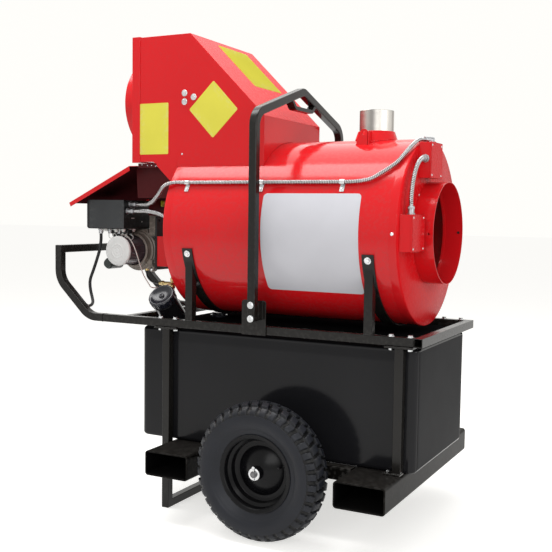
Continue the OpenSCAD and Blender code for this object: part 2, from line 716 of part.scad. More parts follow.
// Fuel tank, neck, cap and fittings
function quarter(r, z, edge, from) = [for (a = [0:15:90])
    [r - edge + edge * cos(from + a), z + edge * sin(from + a)]];
module soft_block(x, y, z, r, edge) hull() for (i = [-1, 1], j = [-1, 1])
    translate([i * (x / 2 - r), j * (y / 2 - r), 0]) rotate_extrude($fn = 32)
        polygon(concat([[0, 0]], quarter(r, edge, edge, -90), quarter(r, z - edge, edge, 0), [[0, z]]));
module at_neck() translate([neck_x, neck_y, tank_top]) rotate([45, 0, 0]) children();
module fuel_tank() color("#1c1d20") difference() {
    union() {
        translate([tank_x, 0, tank_z]) soft_block(tank_len, tank_w, tank_h - shoulder_h, tank_corner, 14);
        translate([tank_x, 0, tank_z + 20])
            soft_block(tank_len - 16, tank_w - 16, tank_h - 20, tank_corner - 8, 14);
    }
    translate([tank_x, 0, tank_z + tank_wall]) soft_block(tank_len - 16 - 2 * tank_wall,
        tank_w - 16 - 2 * tank_wall, tank_h - 2 * tank_wall, tank_corner - 8 - tank_wall, 9);
    at_neck() cylinder(d = neck_d - 10, h = 60, center = true);
    translate([gauge_x, gauge_y, tank_top]) cylinder(d = 40, h = 30, center = true);
    translate([tank_hose_end[0], tank_hose_end[1], tank_top])
        cylinder(d = 9, h = 30, center = true);
}
module filler_neck() color("#1c1d20") difference() {
    at_neck() union() {
        translate([0, 0, -60]) cylinder(d = neck_d, h = neck_len + 60);
        translate([0, 0, neck_len - 26]) cylinder(d = neck_d + 6, h = 4);
    }
    at_neck() translate([0, 0, -100]) cylinder(d = neck_d - 10, h = neck_len + 110);
    block([neck_x - 90, neck_y - 200, tank_top - 200], [neck_x + 90, neck_y + 200, tank_top + seat]);
}
module filler_cap() color("#1a1b1e") at_neck() {
    inner = neck_d / 2 + seat;
    outer = inner + cap_wall;
    skirt = cap_h - 8;
    translate([0, 0, neck_len - skirt + seat]) difference() {
        union() {
            linear_extrude(skirt) {
                circle(outer - 2);
                for (k = [0:13]) rotate(k * 360 / 14) translate([outer - 3, 0])
                    square([6, 10], center = true);
            }
            translate([0, 0, skirt]) rotate_extrude() polygon([[0, 0], [outer, 0], [outer - 1, 3],
                [outer - 14, 5], [outer - 16, 3], [10, 3.5], [8, 8], [0, 8]]);
        }
        translate([0, 0, -1]) cylinder(r = inner, h = skirt + 1);
    }
}
module fuel_gauge() color("#1d1e21") translate([gauge_x, gauge_y, tank_top]) {
    translate([0, 0, seat]) cylinder(d = 58, h = 16);
    translate([0, 0, 16]) cylinder(d = 48, h = 8);
    translate([0, 0, -26]) cylinder(d = 38, h = 27);
    translate([6, 0, -200]) cylinder(d = 6, h = 180);
}
module fuel_fittings() color("#c79a4b") {
    valve = tank_hose_route[0];
    pump = pump_hose_route[0];
    translate([tank_hose_end[0], tank_hose_end[1], tank_top + seat]) {
        cylinder(d = 20, h = 9, $fn = 6);
        cylinder(d = 12, h = tank_hose_end[2] - tank_top - 2 * seat);
    }
    translate([valve[0], valve[1], valve[2] + seat]) {
        cylinder(d = 14, h = 44);
        for (z = [6, 30]) translate([0, 0, z]) cylinder(d = 20, h = 9, $fn = 6);
        translate([0, 0, 21 - seat]) {
            rotate([0, -90, 0]) cylinder(d = 13, h = 53.7);
            rotate([0, -90, 0]) translate([0, 0, 36]) cylinder(d = 18, h = 8, $fn = 6);
            rotate([90, 0, 0]) cylinder(d = 9, h = 14.7);
        }
    }
    difference() {
        translate(pump + [0, 0, seat]) cylinder(d = 13, h = 20);
        translate([blower_x, 0, burner_z]) rod_y(scroll_d + 2 * seat, 120);
    }
}
module fuel_lines() color("#1a1a1c") {
    cord(pump_hose_route, hose_d, 8, 12);
    cord(tank_hose_route, hose_d, 8, 14);
    cord(lead_route, lead_d, 8, 26);
}

// Drum, chamber and flue
module about_drum() translate([0, 0, drum_z]) children();
module drum_shell() color("#c3151d") difference() {
    about_drum() translate([(drum_x0 + drum_x1) / 2, 0, 0])
        tube_x(drum_d, sheet, drum_len - 2 * end_lip);
    translate([stack_x, 0, drum_z + drum_r]) cylinder(d = stack_d + 2 * seat, h = 80, center = true);
    block([drum_x0 + 40, -140, drum_z + 200], [housing_right - 30, 140, drum_z + drum_r + 20]);
    saddle_holes();
}
module saddle_holes() for (x = [drum_mid - saddle_x, drum_mid + saddle_x], s = [-1, 1])
    saddle_place(x, s) cylinder(d = bolt_d + hole_gap, h = 30, center = true);
// End of the drum: a dished plate whose rim covers the shell and whose lip sits inside it
module end_plate(hole_r) rotate_extrude($fn = 96) {
    lip = drum_r - sheet - seat;
    polygon([[hole_r, 0], [drum_r - 4, 0], [drum_r - 1.2, 1.2], [drum_r, 4], [drum_r, end_lip],
        [lip, end_lip], [lip, 24], [lip - sheet, 24], [lip - sheet, sheet], [hole_r, sheet]]);
}
module burner_end_plate() color("#b9141b") difference() {
    about_drum() translate([drum_x0, 0, 0]) rotate([0, 90, 0]) end_plate(0.01);
    translate([drum_x0, 0, burner_z]) rod_x(blast_d + 2 * seat, 20);
    translate(drum_entry) rod_x(14, 20);
}
module outlet_end_plate() color("#c3151d") about_drum() translate([drum_x1, 0, 0])
    rotate([0, -90, 0]) end_plate(collar_r + seat);
// Collar on a plate whose outer face is at 0: its neck steps in where it passes the plate
module collar(reach) {
    neck = 2 * sheet + seat;
    translate([seat + reach / 2, 0, 0]) tube_x(collar_d, sheet, reach);
    translate([-neck / 2 + 2, 0, 0]) tube_x(collar_d - 2, sheet, neck + 4);
    translate([-sheet * 1.5 - seat, 0, 0]) tube_x(collar_d + 30, 17, sheet);
}
module outlet_collar() color("#c3151d") about_drum() difference() {
    translate([drum_x1, 0, 0]) collar(collar_len);
    translate([drum_x1 + collar_len - 13, -collar_r, 0]) rod_y(7, 20);
}
module combustion_chamber() color("#8a7f78") about_drum() difference() {
    union() {
        translate([(drum_x0 + drum_x1) / 2 - 20, 0, 0]) rod_x(chamber_d, drum_len - 180);
        translate([(drum_x0 + drum_x1) / 2 - 20, 0, 0]) rod_x(chamber_d - 20, drum_len - 164);
    }
    translate([(drum_x0 + drum_x1) / 2 - 20, 0, 0]) rod_x(chamber_d - 6, drum_len - 190);
    translate([drum_x0 + 60, 0, burner_z - drum_z]) rod_x(blast_d + 2 * seat, 60);
    translate([stack_x, 0, chamber_d / 2]) cylinder(d = stack_d - 6, h = 40, center = true);
}
module chamber_supports() color("#77706b") about_drum()
    for (x = [drum_x0 + 150, drum_x1 - 150], a = [-55, 0, 55]) translate([x, 0, 0]) difference() {
        rotate([a + 180, 0, 0]) translate([0, 0, (chamber_d / 2 + drum_r) / 2])
            cube([30, 6, drum_r - chamber_d / 2], center = true);
        rod_x(chamber_d + 2 * seat, 40);
        difference() {
            rod_x(drum_d + 60, 40);
            rod_x(drum_d - 2 * sheet - 2 * seat, 42);
        }
    }
module flue_stack() color("#b8b6b2") {
    free_z = base_top + seat;
    translate([stack_x, 0, (free_z + stack_top) / 2]) tube_z(stack_d, 1.5, stack_top - free_z);
    difference() {
        translate([stack_x, 0, (drum_z + 120 + free_z + 2) / 2])
            tube_z(stack_d - 2, 1.5, free_z + 2 - drum_z - 120);
        about_drum() rod_x_at(stack_x, chamber_d + 2 * seat);
    }
}
module rod_x_at(x, d) translate([x, 0, 0]) rod_x(d, 200);
module flue_base() color("#c3151d") difference() {
    translate([stack_x, 0, drum_z + drum_r - 12]) rotate_extrude() polygon([
        [stack_d / 2 + seat, 0], [stack_d / 2 + 16, 0], [stack_d / 2 + 13, 12],
        [stack_d / 2 + 4, base_h + 12], [stack_d / 2 + seat, base_h + 12]]);
    about_drum() rod_x_at(stack_x, drum_d + 2 * seat);
}
module lifting_tab() color("#b9141b") difference() {
    top = drum_z + drum_r + 34;
    translate([stack_x - 8, -103, 0]) rotate([0, 0, -41]) {
        along_y(5) difference() {
            union() {
                translate([8, top - 14]) circle(14);
                polygon([[-4, top - 10], [20, top - 8], [38, top - 82], [-40, top - 58]]);
            }
            translate([8, top - 14]) circle(7);
        }
        translate([0, 9, 0]) along_x(4) polygon([[-9, top - 80], [-9, top - 26], [14, top - 80]]);
    }
    about_drum() translate([stack_x, 0, 0]) rod_x(drum_d + 2 * seat, 200);
}

// Fan housing and its inlet
module housing_outline(t) {
    y1 = housing_top - t;
    run = housing_right - t - (housing_x0 + housing_flat);
    k = (housing_top - slope_end_z) / (housing_right - housing_x0 - housing_flat);
    polygon([[housing_x0 - (t > 0 ? 1 : 0), floor_z + t], [housing_x0 - (t > 0 ? 1 : 0), y1],
        [housing_x0 + housing_flat - t * 0.4, y1],
        [housing_right - t, y1 - k * (run + t * 0.4)], [housing_right - t, drum_z + 60],
        [drum_x0 + t, drum_z + 60], [drum_x0 + t, floor_z + t]]);
}
module fan_housing() color("#c3151d") difference() {
    union() {
        difference() {
            along_y(housing_w) housing_outline(0);
            along_y(housing_w - 2 * sheet) housing_outline(sheet);
        }
        both_sides() translate([0, housing_y - sheet / 2, 0]) along_y(sheet)
            polygon([[housing_x0 + 59, floor_z + 1], [drum_x0 - 26, drum_z + 151],
                [drum_x0 - seat, drum_z + 151], [drum_x0 - seat, floor_z + 1]]);
    }
    about_drum() translate([drum_mid, 0, 0]) rod_x(drum_d + 2 * seat, drum_len + 0.01);
    fan_bolt_places() rod_y(bolt_d + hole_gap, 3 * sheet);
}
// Six bolt places of the fan bracket on the two sides of the housing
module fan_bolt_places() for (s = [-1, 1], q = [[-17, 13], [-17, -14], [17, -1]])
    translate([motor_x + 84 + q[0], s * (housing_y - sheet / 2), fan_z + q[1]]) children();
module inlet_panel() color("#c3151d") {
    w = housing_w + 2 * seat + 2 * sheet;
    h = housing_top - floor_z + 2 * seat + 2 * sheet;
    z = (housing_top + floor_z) / 2;
    depth = panel_depth + 8;
    difference() {
        translate([panel_x, -w / 2, z - h / 2]) cube([depth, w, h]);
        translate([panel_x + sheet, -w / 2 + sheet, z - h / 2 + sheet])
            cube([depth, w - 2 * sheet, h - 2 * sheet]);
        translate([panel_x, 0, fan_z]) rod_x(collar_d + 2 * seat, 20);
    }
}
module inlet_collar() color("#b9141b") translate([panel_x, 0, fan_z]) mirror([1, 0, 0])
    collar(panel_x - inlet_x);
module inlet_guard() color("#77797c") translate([panel_x - 8, 0, fan_z]) along_x(3) {
    inner = collar_r - sheet - seat;
    for (r = concat([for (r = [24:16:inner - 12]) r], [inner])) difference() {
        circle(r);
        circle(r - 3);
    }
    difference() {
        for (a = [0:45:135]) rotate(a) square([2 * inner - 3, 3], center = true);
        circle(20);
    }
}
module fan_bracket() color("#a8abad") {
    z = fan_z - fan_motor_d / 2 - 19;
    difference() {
        union() {
            translate([motor_x + 84, 0, z]) rod_y(30, housing_w - 2 * sheet - 2 * seat);
            both_sides() translate([motor_x + 84, housing_y - sheet - seat - 2.5, 0]) along_y(5)
                polygon([[-34, fan_z + 28], [34, fan_z + 28], [20, z - 18], [-20, z - 18]]);
            translate([motor_x + 84, 0, z + 20]) cube([90, 70, 40], center = true);
        }
        translate([motor_x + 84, 0, fan_z]) rod_x(fan_motor_d + 2 * seat, 120);
        fan_bolt_places() rod_y(bolt_d + hole_gap, 30);
    }
    for (s = [-1, 1]) mirror([0, s < 0 ? 0 : 1, 0]) for (q = [[-17, 13], [-17, -14], [17, -1]])
        translate([motor_x + 84 + q[0], -housing_y, fan_z + q[1]]) rotate([90, 0, 0])
            flange_bolt(14, 0);
}
module fan_motor() color("#55585b") translate([motor_x + 84, 0, fan_z]) difference() {
    union() {
        rod_x(fan_motor_d, fan_motor_len - 30);
        rod_x(fan_motor_d - 16, fan_motor_len);
    }
    translate([-fan_motor_len / 2, 0, 0]) rod_x(fan_shaft_d + 2 * shaft_gap, 80);
}
module fan_blades() color("#3c3f42") translate([0, 0, fan_z]) {
    shaft_x0 = housing_x0 + 24;
    shaft_x1 = motor_x + 84 - fan_motor_len / 2 + 36;
    fan_x = housing_x0 + 52;
    translate([(shaft_x0 + shaft_x1) / 2, 0, 0]) rod_x(fan_shaft_d, shaft_x1 - shaft_x0);
    translate([fan_x, 0, 0]) rod_x(64, 36);
    for (k = [0:fan_blades_n - 1]) rotate([k * 360 / fan_blades_n, 0, 0]) translate([fan_x, 0, 26])
        rotate([0, 0, 58]) linear_extrude(fan_d / 2 - 26, twist = 18, slices = 5)
            difference() {
                translate([0, -50]) circle(62, $fn = 48);
                translate([0, -53.5]) circle(62, $fn = 48);
                for (s = [-1, 1]) translate([s * 80, 0]) square([84, 200], center = true);
                translate([0, -80]) square([200, 100], center = true);
            }
}

// Burner, its hood and its electrics
module burner_hood() color("#b9141b") {
    tip_x = drum_x0 - 440;
    bend_x = drum_x0 - 188;
    top = drum_z + 201;
    tip_z = drum_z + 78;
    wing_y = 160;
    slope = atan((top - tip_z) / (bend_x - tip_x));
    along_y(housing_w) band([[tip_x, tip_z], [bend_x, top - 1], [bend_x + 30, top - 1]], [3], sheet);
    along_y(2 * wing_y) translate([bend_x + 20, top - sheet])
        square([drum_x0 - bend_x - 20 - seat, sheet]);
    both_sides() {
        translate([0, housing_y - sheet / 2, 0]) along_y(sheet) polygon([[tip_x, tip_z],
            [bend_x, top - 1], [bend_x + 2, top - 16], [tip_x + 6, tip_z - 12]]);
        translate([0, wing_y - sheet / 2, 0]) along_y(sheet) polygon([[bend_x, top - 1],
            [drum_x0 - seat, top - 1], [drum_x0 - seat, drum_z + 97], [bend_x + 6, drum_z + 97]]);
    }
}
module control_box() color("#1b1c1e") difference() {
    block([control_x0, control_y0, control_z0], [control_x0 + control_l, control_y1, control_z1]);
    block([control_x0 + sheet, control_y0 - 1, control_z0 + sheet],
        [control_x0 + control_l - sheet, control_y1 - sheet, control_z1 - sheet]);
    for (q = gland_places) translate([q[0], q[1], control_z0])
        cylinder(d = 12, h = 10, center = true);
    for (q = [main_route[0], drum_route[0]])
        translate([control_x0 + control_l, q[1], q[2]]) rod_x(13, 10);
}
module control_cover() color("#3f4244")
    block([control_x0, control_y0 - sheet - seat, control_z0],
        [control_x0 + control_l, control_y0 - seat, control_z1]);
module burner_casting() color("#45413d") {
    half = scroll_w / 2;
    pad_top = control_z0 - seat;
    difference() {
        union() {
            translate([blower_x, 0, burner_z]) along_y(scroll_w) {
                circle(d = scroll_d, $fn = 96);
                translate([0, -40]) square([flange_x - seat - blower_x, 84]);
                translate([-24, 0]) square([60, pad_top - burner_z]);
            }
            translate([flange_x - seat - 4, 0, burner_z]) along_x(8) square([118, 110], center = true);
            translate([flange_x - 36, -half - 5, burner_z - 62]) rod_y(24, 20);
            translate([flange_x - 44, -half - 5, burner_z - 48]) cube([20, 20, 30], center = true);
            block([flange_x - 46, -60, burner_z + 50], [flange_x - seat, 60, burner_z + 124]);
        }
        block([flange_x - 40, -54, burner_z + 36], [flange_x + 1, 54, burner_z + 118]);
        translate([blower_x, 0, burner_z]) rod_y(scroll_d - 12, scroll_w - 12);
        block([blower_x, -half + 6, burner_z - 30], [flange_x, half - 6, burner_z + 36]);
        translate([blower_x, 0, burner_z]) rod_y(burner_shaft_d + 2 * shaft_gap, scroll_w + 60);
        translate([flange_x - 36, -half - 5, burner_z - 62]) rod_y(bolt_d + hole_gap, 30);
    }
}
module blower_wheel() color("#8f9295") translate([blower_x, 0, burner_z]) {
    r = scroll_d / 2 - 14;
    rod_y(burner_shaft_d, scroll_w + 100);
    translate([0, 30, 0]) rod_y(2 * r, 3);
    translate([0, 20, 0]) rod_y(30, 22);
    translate([0, -30, 0]) tube_y(2 * r, 8, 3);
    along_y(60) for (k = [0:27]) rotate(k * 360 / 28) translate([r - 4, 0]) rotate(28)
        square([8, 1.6], center = true);
}
module blast_tube() color("#6f6a66") translate([(flange_x + drum_x0 + 91) / 2, 0, burner_z])
    tube_x(blast_d, 3, drum_x0 + 91 - flange_x);
module burner_flange() color("#202123") difference() {
    translate([flange_x + 4, 0, flange_z]) along_x(8) rounded(flange_w, flange_w, 8);
    translate([flange_x + 4, 0, burner_z]) rod_x(blast_d + 2 * seat, 20);
    for (i = [-1, 1], j = [-1, 1]) translate([flange_x + 4, 0, flange_z])
        translate([0, i * (flange_w / 2 - 14), j * (flange_w / 2 - 14)])
            rod_x(bolt_d + hole_gap, 20);
}
module burner_mount() color("#c3151d") translate([(mount_x0 + drum_x0 - seat) / 2, 0, burner_z])
    along_x(drum_x0 - seat - mount_x0) difference() {
        square([flange_w - 2, mount_h], center = true);
        square([flange_w - 2 - 6, mount_h - 6], center = true);
    }
module burner_motor() color("#4a4643") difference() {
    union() {
        translate([blower_x, motor_y - 6, burner_z]) rod_y(motor_d + 12, 12);
        translate([blower_x, (motor_y + motor_end) / 2, burner_z]) rod_y(motor_d, motor_len);
        for (k = [0:11]) translate([blower_x, (motor_y + motor_end) / 2 - 6, burner_z])
            rotate([0, 7 + k * 30, 0]) translate([motor_d / 2, 0, 0])
                cube([5, motor_len - 36, 3], center = true);
    }
    translate([blower_x, motor_y - 20, burner_z]) rod_y(burner_shaft_d + 2 * shaft_gap, 70);
}
module motor_cap() color("#c9ccc8") translate([blower_x, motor_end - seat, burner_z]) rotate([90, 0, 0])
    rotate_extrude($fn = 96) polygon([[0, 0], [motor_cap_d / 2, 0], [motor_cap_d / 2, 5],
        [motor_cap_d / 2 - 4, 9], [26, 10.5], [23, 9.5], [21, 11.5], [0, 11.5]]);
module capacitor() color("#1b1c1e") difference() {
    union() {
        translate([blower_x - 57, -112, burner_z - 45]) {
            rod_y(38, 62);
            translate([0, -35, 0]) rod_y(30, 8);
        }
        translate([blower_x, -104, burner_z]) rotate([0, 142, 0]) translate([54, 0, 0])
            cube([22, 24, 18], center = true);
    }
    translate([blower_x, -104, burner_z]) rod_y(motor_d + 2 * seat, 90);
}
module fuel_pump() color("#6c675f") translate([blower_x, scroll_w / 2 + seat, burner_z]) difference() {
    union() {
        translate([0, 8, 0]) rod_y(80, 16);
        translate([0, 38, -6]) cube([64, 44, 60], center = true);
        translate([0, 64, -6]) rod_y(44, 10);
        translate([38, 38, -14]) rod_x(16, 20);
    }
    rod_y(burner_shaft_d + 2 * shaft_gap, 110);
}

// Conduits, fittings and clips
module conduit_main() color("#a9abad") conduit(main_route, 14);
module short_conduits() color("#a9abad") {
    conduit(drum_route, 14);
    conduit(link_route, 14);
}
module connector(h) {
    cylinder(d = 18, h = h);
    cylinder(d = 24, h = 4, $fn = 8);
    translate([0, 0, h - 8]) cylinder(d = 21, h = 5, $fn = 6);
}
module conduit_fittings() color("#b9bbbd") {
    for (q = [main_route[0], drum_route[0]])
        translate([control_x0 + control_l + seat, q[1], q[2]]) rotate([0, 90, 0])
            connector(q[0] - control_x0 - control_l - 2 * seat);
    translate([drum_x0 - seat, drum_entry[1], drum_entry[2]]) rotate([0, -90, 0])
        connector(24 - 2 * seat);
    out = link_route[0];
    back = link_route[len(link_route) - 1];
    translate([out[0], upper_box_y - box_side / 2 - seat, out[2]]) rotate([90, 0, 0])
        connector(upper_box_y - box_side / 2 - out[1] - 2 * seat);
    translate([back[0], back[1], lower_box_z + box_side / 2 + seat])
        connector(back[2] - lower_box_z - box_side / 2 - 2 * seat);
    translate([out[0], upper_box_y - 7.5, upper_box_z + box_side / 2 + seat]) {
        cylinder(d = 24, h = 4, $fn = 8);
        cylinder(d = 17, h = 10);
        translate([0, 0, 9]) rotate([0, 0, -127]) rotate([0, 90, 0]) translate([0, 0, -8])
            cylinder(d = 17, h = 29.4);
    }
    at_grommet() translate([0, seat + 1.5, 0]) rod_y(cable_d + 13, 3);
    at_grommet() rod_y(cable_d + 8 - 2 * seat, 6);
    for (q = gland_places) translate([q[0], q[1], control_z0 - seat]) rotate([180, 0, 0]) {
        cylinder(d = 20, h = 5, $fn = 6);
        cylinder(d = 15, h = 16);
    }
}
module conduit_clips() color("#d2d4d6") for (x = [drum_mid - 315, drum_mid - 54, drum_mid + 207])
    translate([x, 0, drum_z]) rotate([-30.05, 0, 0]) translate([0, -drum_r - seat, 0]) {
        r = conduit_d / 2 + seat;
        translate([0, -r - 1.2, 0]) tube_x(2 * r + 2.4, 1.2, 14);
        translate([0, -0.9, -14]) cube([14, 1.2, 28], center = true);
        translate([0, -1.4, -20]) rotate([90, 0, 0]) screw_head(9);
    }
module junction_box(y, z) translate([box_x + seat / 2, y, z]) difference() {
    union() {
        cube([box_depth - seat, box_side, box_side], center = true);
        translate([box_depth / 2 - 2.5, 0, 0])
            cube([4, box_side + 2, box_side + 2], center = true);
    }
    cube([box_depth - 2 * sheet - seat, box_side - 2 * sheet, box_side - 2 * sheet], center = true);
}
module junction_boxes() color("#c3151d") {
    junction_box(upper_box_y, upper_box_z);
    junction_box(lower_box_y, lower_box_z);
}
module power_cable() color("#17181a") cord(cable_route, cable_d, 8, 22);

side_rails();
cross_rails();
handle();
left_saddle();
right_saddle();
hoop_feet();
lifting_hoop();
lifting_eye();
stand_frame();
right_posts();
frame_bolts();
left_fork_pocket();
right_fork_pocket();
lower_rails();
axle();
axle_fasteners();
near_tyre();
near_rim();
far_tyre();
far_rim();
fuel_tank();
filler_neck();
filler_cap();
fuel_gauge();
fuel_fittings();
fuel_lines();
drum_shell();
burner_end_plate();
outlet_end_plate();
outlet_collar();
combustion_chamber();
chamber_supports();
flue_stack();
flue_base();
lifting_tab();
fan_housing();
inlet_panel();
inlet_collar();
inlet_guard();
fan_bracket();
fan_motor();
fan_blades();
burner_hood();
control_box();
control_cover();
burner_casting();
blower_wheel();
blast_tube();
burner_flange();
burner_mount();
burner_motor();
motor_cap();
capacitor();
fuel_pump();
conduit_main();
short_conduits();
conduit_fittings();
conduit_clips();
junction_boxes();
power_cable();
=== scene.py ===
"""Indirect diesel heater on a wheeled frame: the looks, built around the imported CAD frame."""
import math

import bmesh
import bpy
import numpy as np
from mathutils import Matrix, Vector


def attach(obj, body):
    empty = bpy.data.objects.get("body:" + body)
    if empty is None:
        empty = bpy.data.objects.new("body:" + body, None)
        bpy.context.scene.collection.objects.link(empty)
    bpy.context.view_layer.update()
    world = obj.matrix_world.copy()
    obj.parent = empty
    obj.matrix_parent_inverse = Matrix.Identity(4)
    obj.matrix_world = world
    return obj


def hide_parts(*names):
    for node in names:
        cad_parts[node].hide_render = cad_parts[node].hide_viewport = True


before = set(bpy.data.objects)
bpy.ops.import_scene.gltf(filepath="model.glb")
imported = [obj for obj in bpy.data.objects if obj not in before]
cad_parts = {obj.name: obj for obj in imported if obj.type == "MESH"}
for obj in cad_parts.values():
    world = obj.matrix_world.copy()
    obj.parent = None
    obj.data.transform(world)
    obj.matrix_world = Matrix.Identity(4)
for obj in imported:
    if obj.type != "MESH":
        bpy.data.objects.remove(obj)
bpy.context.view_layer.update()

bl_info = {
    "name": "Indirect diesel heater",
    "version": (1, 0, 0),
    "blender": (4, 5, 0),
    "location": "View3D > Sidebar > Heater",
    "description": "Builds the finishes and fine forms of an indirect diesel heater",
    "category": "Object",
}

MM = 0.001

# Places and sizes that several pieces share, in millimetres
DRUM_Z, DRUM_R, DRUM_ENDS = 893.0, 279.5, (-200.0, 574.0)
HOUSING_Y = -200.0
AXLE_X, AXLE_Z, WHEEL_Y = 204.0, 203.2, 361.0
MOTOR_X, MOTOR_Z = -459.0, 811.5
ALONG_X, ALONG_Y, UPRIGHT = (1, 0, 0), (0, 1, 0), (0, 0, 1)


# Settings


class HeaterColours(bpy.types.PropertyGroup):
    """Colours a user would change."""
    red: bpy.props.FloatVectorProperty(
        name="Red paint", description="Colour of the painted sheet",
        default=(0.66, 0.009, 0.013), size=3, min=0, max=1, subtype="COLOR")
    black: bpy.props.FloatVectorProperty(
        name="Frame paint", description="Colour of the frame's powder coat",
        default=(0.0105, 0.0095, 0.0085), size=3, min=0, max=1, subtype="COLOR")
    plastic: bpy.props.FloatVectorProperty(
        name="Tank plastic", description="Colour of the moulded tank",
        default=(0.010, 0.010, 0.0115), size=3, min=0, max=1, subtype="COLOR")
    yellow: bpy.props.FloatVectorProperty(
        name="Yellow panels", description="Colour of the plain yellow panels",
        default=(0.72, 0.66, 0.075), size=3, min=0, max=1, subtype="COLOR")
    white: bpy.props.FloatVectorProperty(
        name="White sheet", description="Colour of the plain sheet on the drum",
        default=(0.60, 0.60, 0.64), size=3, min=0, max=1, subtype="COLOR")


class HeaterSizes(bpy.types.PropertyGroup):
    """Sizes a user would change."""
    tube_edge: bpy.props.FloatProperty(
        name="Tube edge", description="Radius of the frame tube's corners",
        default=0.0026, min=0.0005, max=0.004, unit="LENGTH")
    sheet_edge: bpy.props.FloatProperty(
        name="Sheet edge", description="Radius of the folded sheet's edges",
        default=0.0009, min=0.0002, max=0.0009, unit="LENGTH")
    tread_lugs: bpy.props.IntProperty(
        name="Tread lugs", description="Shoulder lugs round one tyre", default=38, min=24, max=48)
    tread_depth: bpy.props.FloatProperty(
        name="Tread depth", description="Depth of the tyre's grooves",
        default=0.0080, min=0.002, max=0.009, unit="LENGTH")
    rib_pitch: bpy.props.FloatProperty(
        name="Conduit pitch", description="Distance between the conduit's ribs",
        default=0.0052, min=0.003, max=0.009, unit="LENGTH")


def sizes():
    return bpy.context.scene.heater_sizes


# Worked-out surfaces


class Form:
    """Gathers surfaces for one piece, in millimetres in the frame of the CAD."""

    def __init__(self):
        self.points, self.faces, self.grooves, self.count = [], [], [], 0

    def grid(self, points, wrap_u=False, wrap_v=False, groove=0.0):
        """A grid of points as a surface; a wrapped side joins its last row to its first. Painted shade tells how much
        painted
        shade each point gets, from 0 to 1: in the tyre's and conduit's grooves, and in the flue stub's painted
        reflection bands."""
        n, m = points.shape[:2]
        i = np.arange(n if wrap_u else n - 1)[:, None]
        j = np.arange(m if wrap_v else m - 1)[None]
        k, l = (i + 1) % n, (j + 1) % m
        faces = np.stack([i * m + j, i * m + l, k * m + l, k * m + j], -1).reshape(-1, 4)
        self.points.append(np.asarray(points, float).reshape(-1, 3))
        self.grooves.append(np.broadcast_to(np.asarray(groove, float).reshape(-1), n * m))
        self.faces += (faces + self.count).tolist()
        self.count += n * m

    def lathe(self, profile, at, axis, steps=96, groove=0.0):
        """Profile points (distance along the axis, radius) turned about an axis through a point."""
        profile = np.asarray(profile, float)
        along = np.asarray(axis, float) / np.linalg.norm(axis)
        one = np.cross(along, [0, 0, 1.0] if abs(along[2]) < 0.9 else [1.0, 0, 0])
        one /= np.linalg.norm(one)
        two = np.cross(along, one)
        turn = np.linspace(0, 2 * np.pi, steps, endpoint=False)[:, None, None]
        ring = np.cos(turn) * one + np.sin(turn) * two
        points = np.asarray(at, float) + profile[None, :, :1] * along + profile[None, :, 1:] * ring
        self.grid(points, wrap_u=True, groove=groove)

    def tube(self, path, radius, sides=16, groove=None):
        """A round tube with closed ends along a path; its radius is a number, a list, or a grid of path by side."""
        path = np.asarray(path, float)
        one, two = carried_frame(path)
        radius = np.asarray(radius, float)
        radius = np.broadcast_to(radius if radius.ndim == 2 else radius.reshape(-1, 1), (len(path), sides))
        turn = np.linspace(0, 2 * np.pi, sides, endpoint=False)
        ring = (np.cos(turn)[None, :, None] * one[:, None] + np.sin(turn)[None, :, None] * two[:, None])
        points = path[:, None] + radius[..., None] * ring
        first, last = (np.broadcast_to(path[i], (1, sides, 3)) for i in (0, -1))
        groove = 0.0 if groove is None else np.concatenate([groove[:1], groove, groove[-1:]])
        self.grid(np.concatenate([first, points, last]), wrap_v=True, groove=groove)

    def plate(self, centre, right, up, size, corner, thickness):
        """A thin plate with rounded corners; its outline is a rounded rectangle of the two sizes."""
        centre, right, up = (np.asarray(v, float) for v in (centre, right, up))
        right, up = right / np.linalg.norm(right), up / np.linalg.norm(up)
        out = np.cross(right, up)
        rows = rounded_rows(size, corner, 8, 5)
        face = centre + rows[..., :1] * right + rows[..., 1:] * up + out * thickness
        under = face - out * thickness
        self.grid(face)
        self.grid(np.stack([np.concatenate([g[:, 0], g[::-1, -1]]) for g in (under, face)]), wrap_v=True)
        self.grid(under[:, ::-1])

    def make(self, name, finish_name, slot, body="frame", replaces=(), smooth=40, merge=2e-6):
        """Turns the surfaces into one mesh piece that rides on a body; edges up to smooth degrees are soft."""
        mesh = bpy.data.meshes.new(name)
        mesh.from_pydata((np.concatenate(self.points) * MM).tolist(), [], self.faces)
        mesh.attributes.new("Painted shade", "FLOAT", "POINT").data.foreach_set("value", np.concatenate(self.grooves))
        work = bmesh.new()
        work.from_mesh(mesh)
        bmesh.ops.remove_doubles(work, verts=work.verts, dist=merge)
        bmesh.ops.dissolve_degenerate(work, edges=work.edges, dist=1e-7)
        bmesh.ops.recalc_face_normals(work, faces=work.faces)
        work.to_mesh(mesh)
        work.free()
        mesh.shade_smooth()
        mesh.set_sharp_from_angle(angle=math.radians(smooth))
        return settle(mesh, name, finish_name, body, replaces)


def settle(mesh, name, finish_name, body, replaces):
    """Links a mesh as a piece at the origin, gives it its finish and sets it riding."""
    piece = bpy.data.objects.new(name, mesh)
    bpy.context.scene.collection.objects.link(piece)
    mesh.materials.append(bpy.data.materials[finish_name])
    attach(piece, body)
    if replaces:
        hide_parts(*replaces)
    return piece


def carried_frame(path):
    """Two unit vectors across a path at each point, carried along it with no twist."""
    tangent = np.gradient(path, axis=0)
    tangent /= np.linalg.norm(tangent, axis=1)[:, None]
    one = np.zeros_like(path)
    start = np.array([0.1, 0.2, 1.0])
    for i, t in enumerate(tangent):
        start = start - (start @ t) * t
        start /= np.linalg.norm(start)
        one[i] = start
    return one, np.cross(tangent, one)


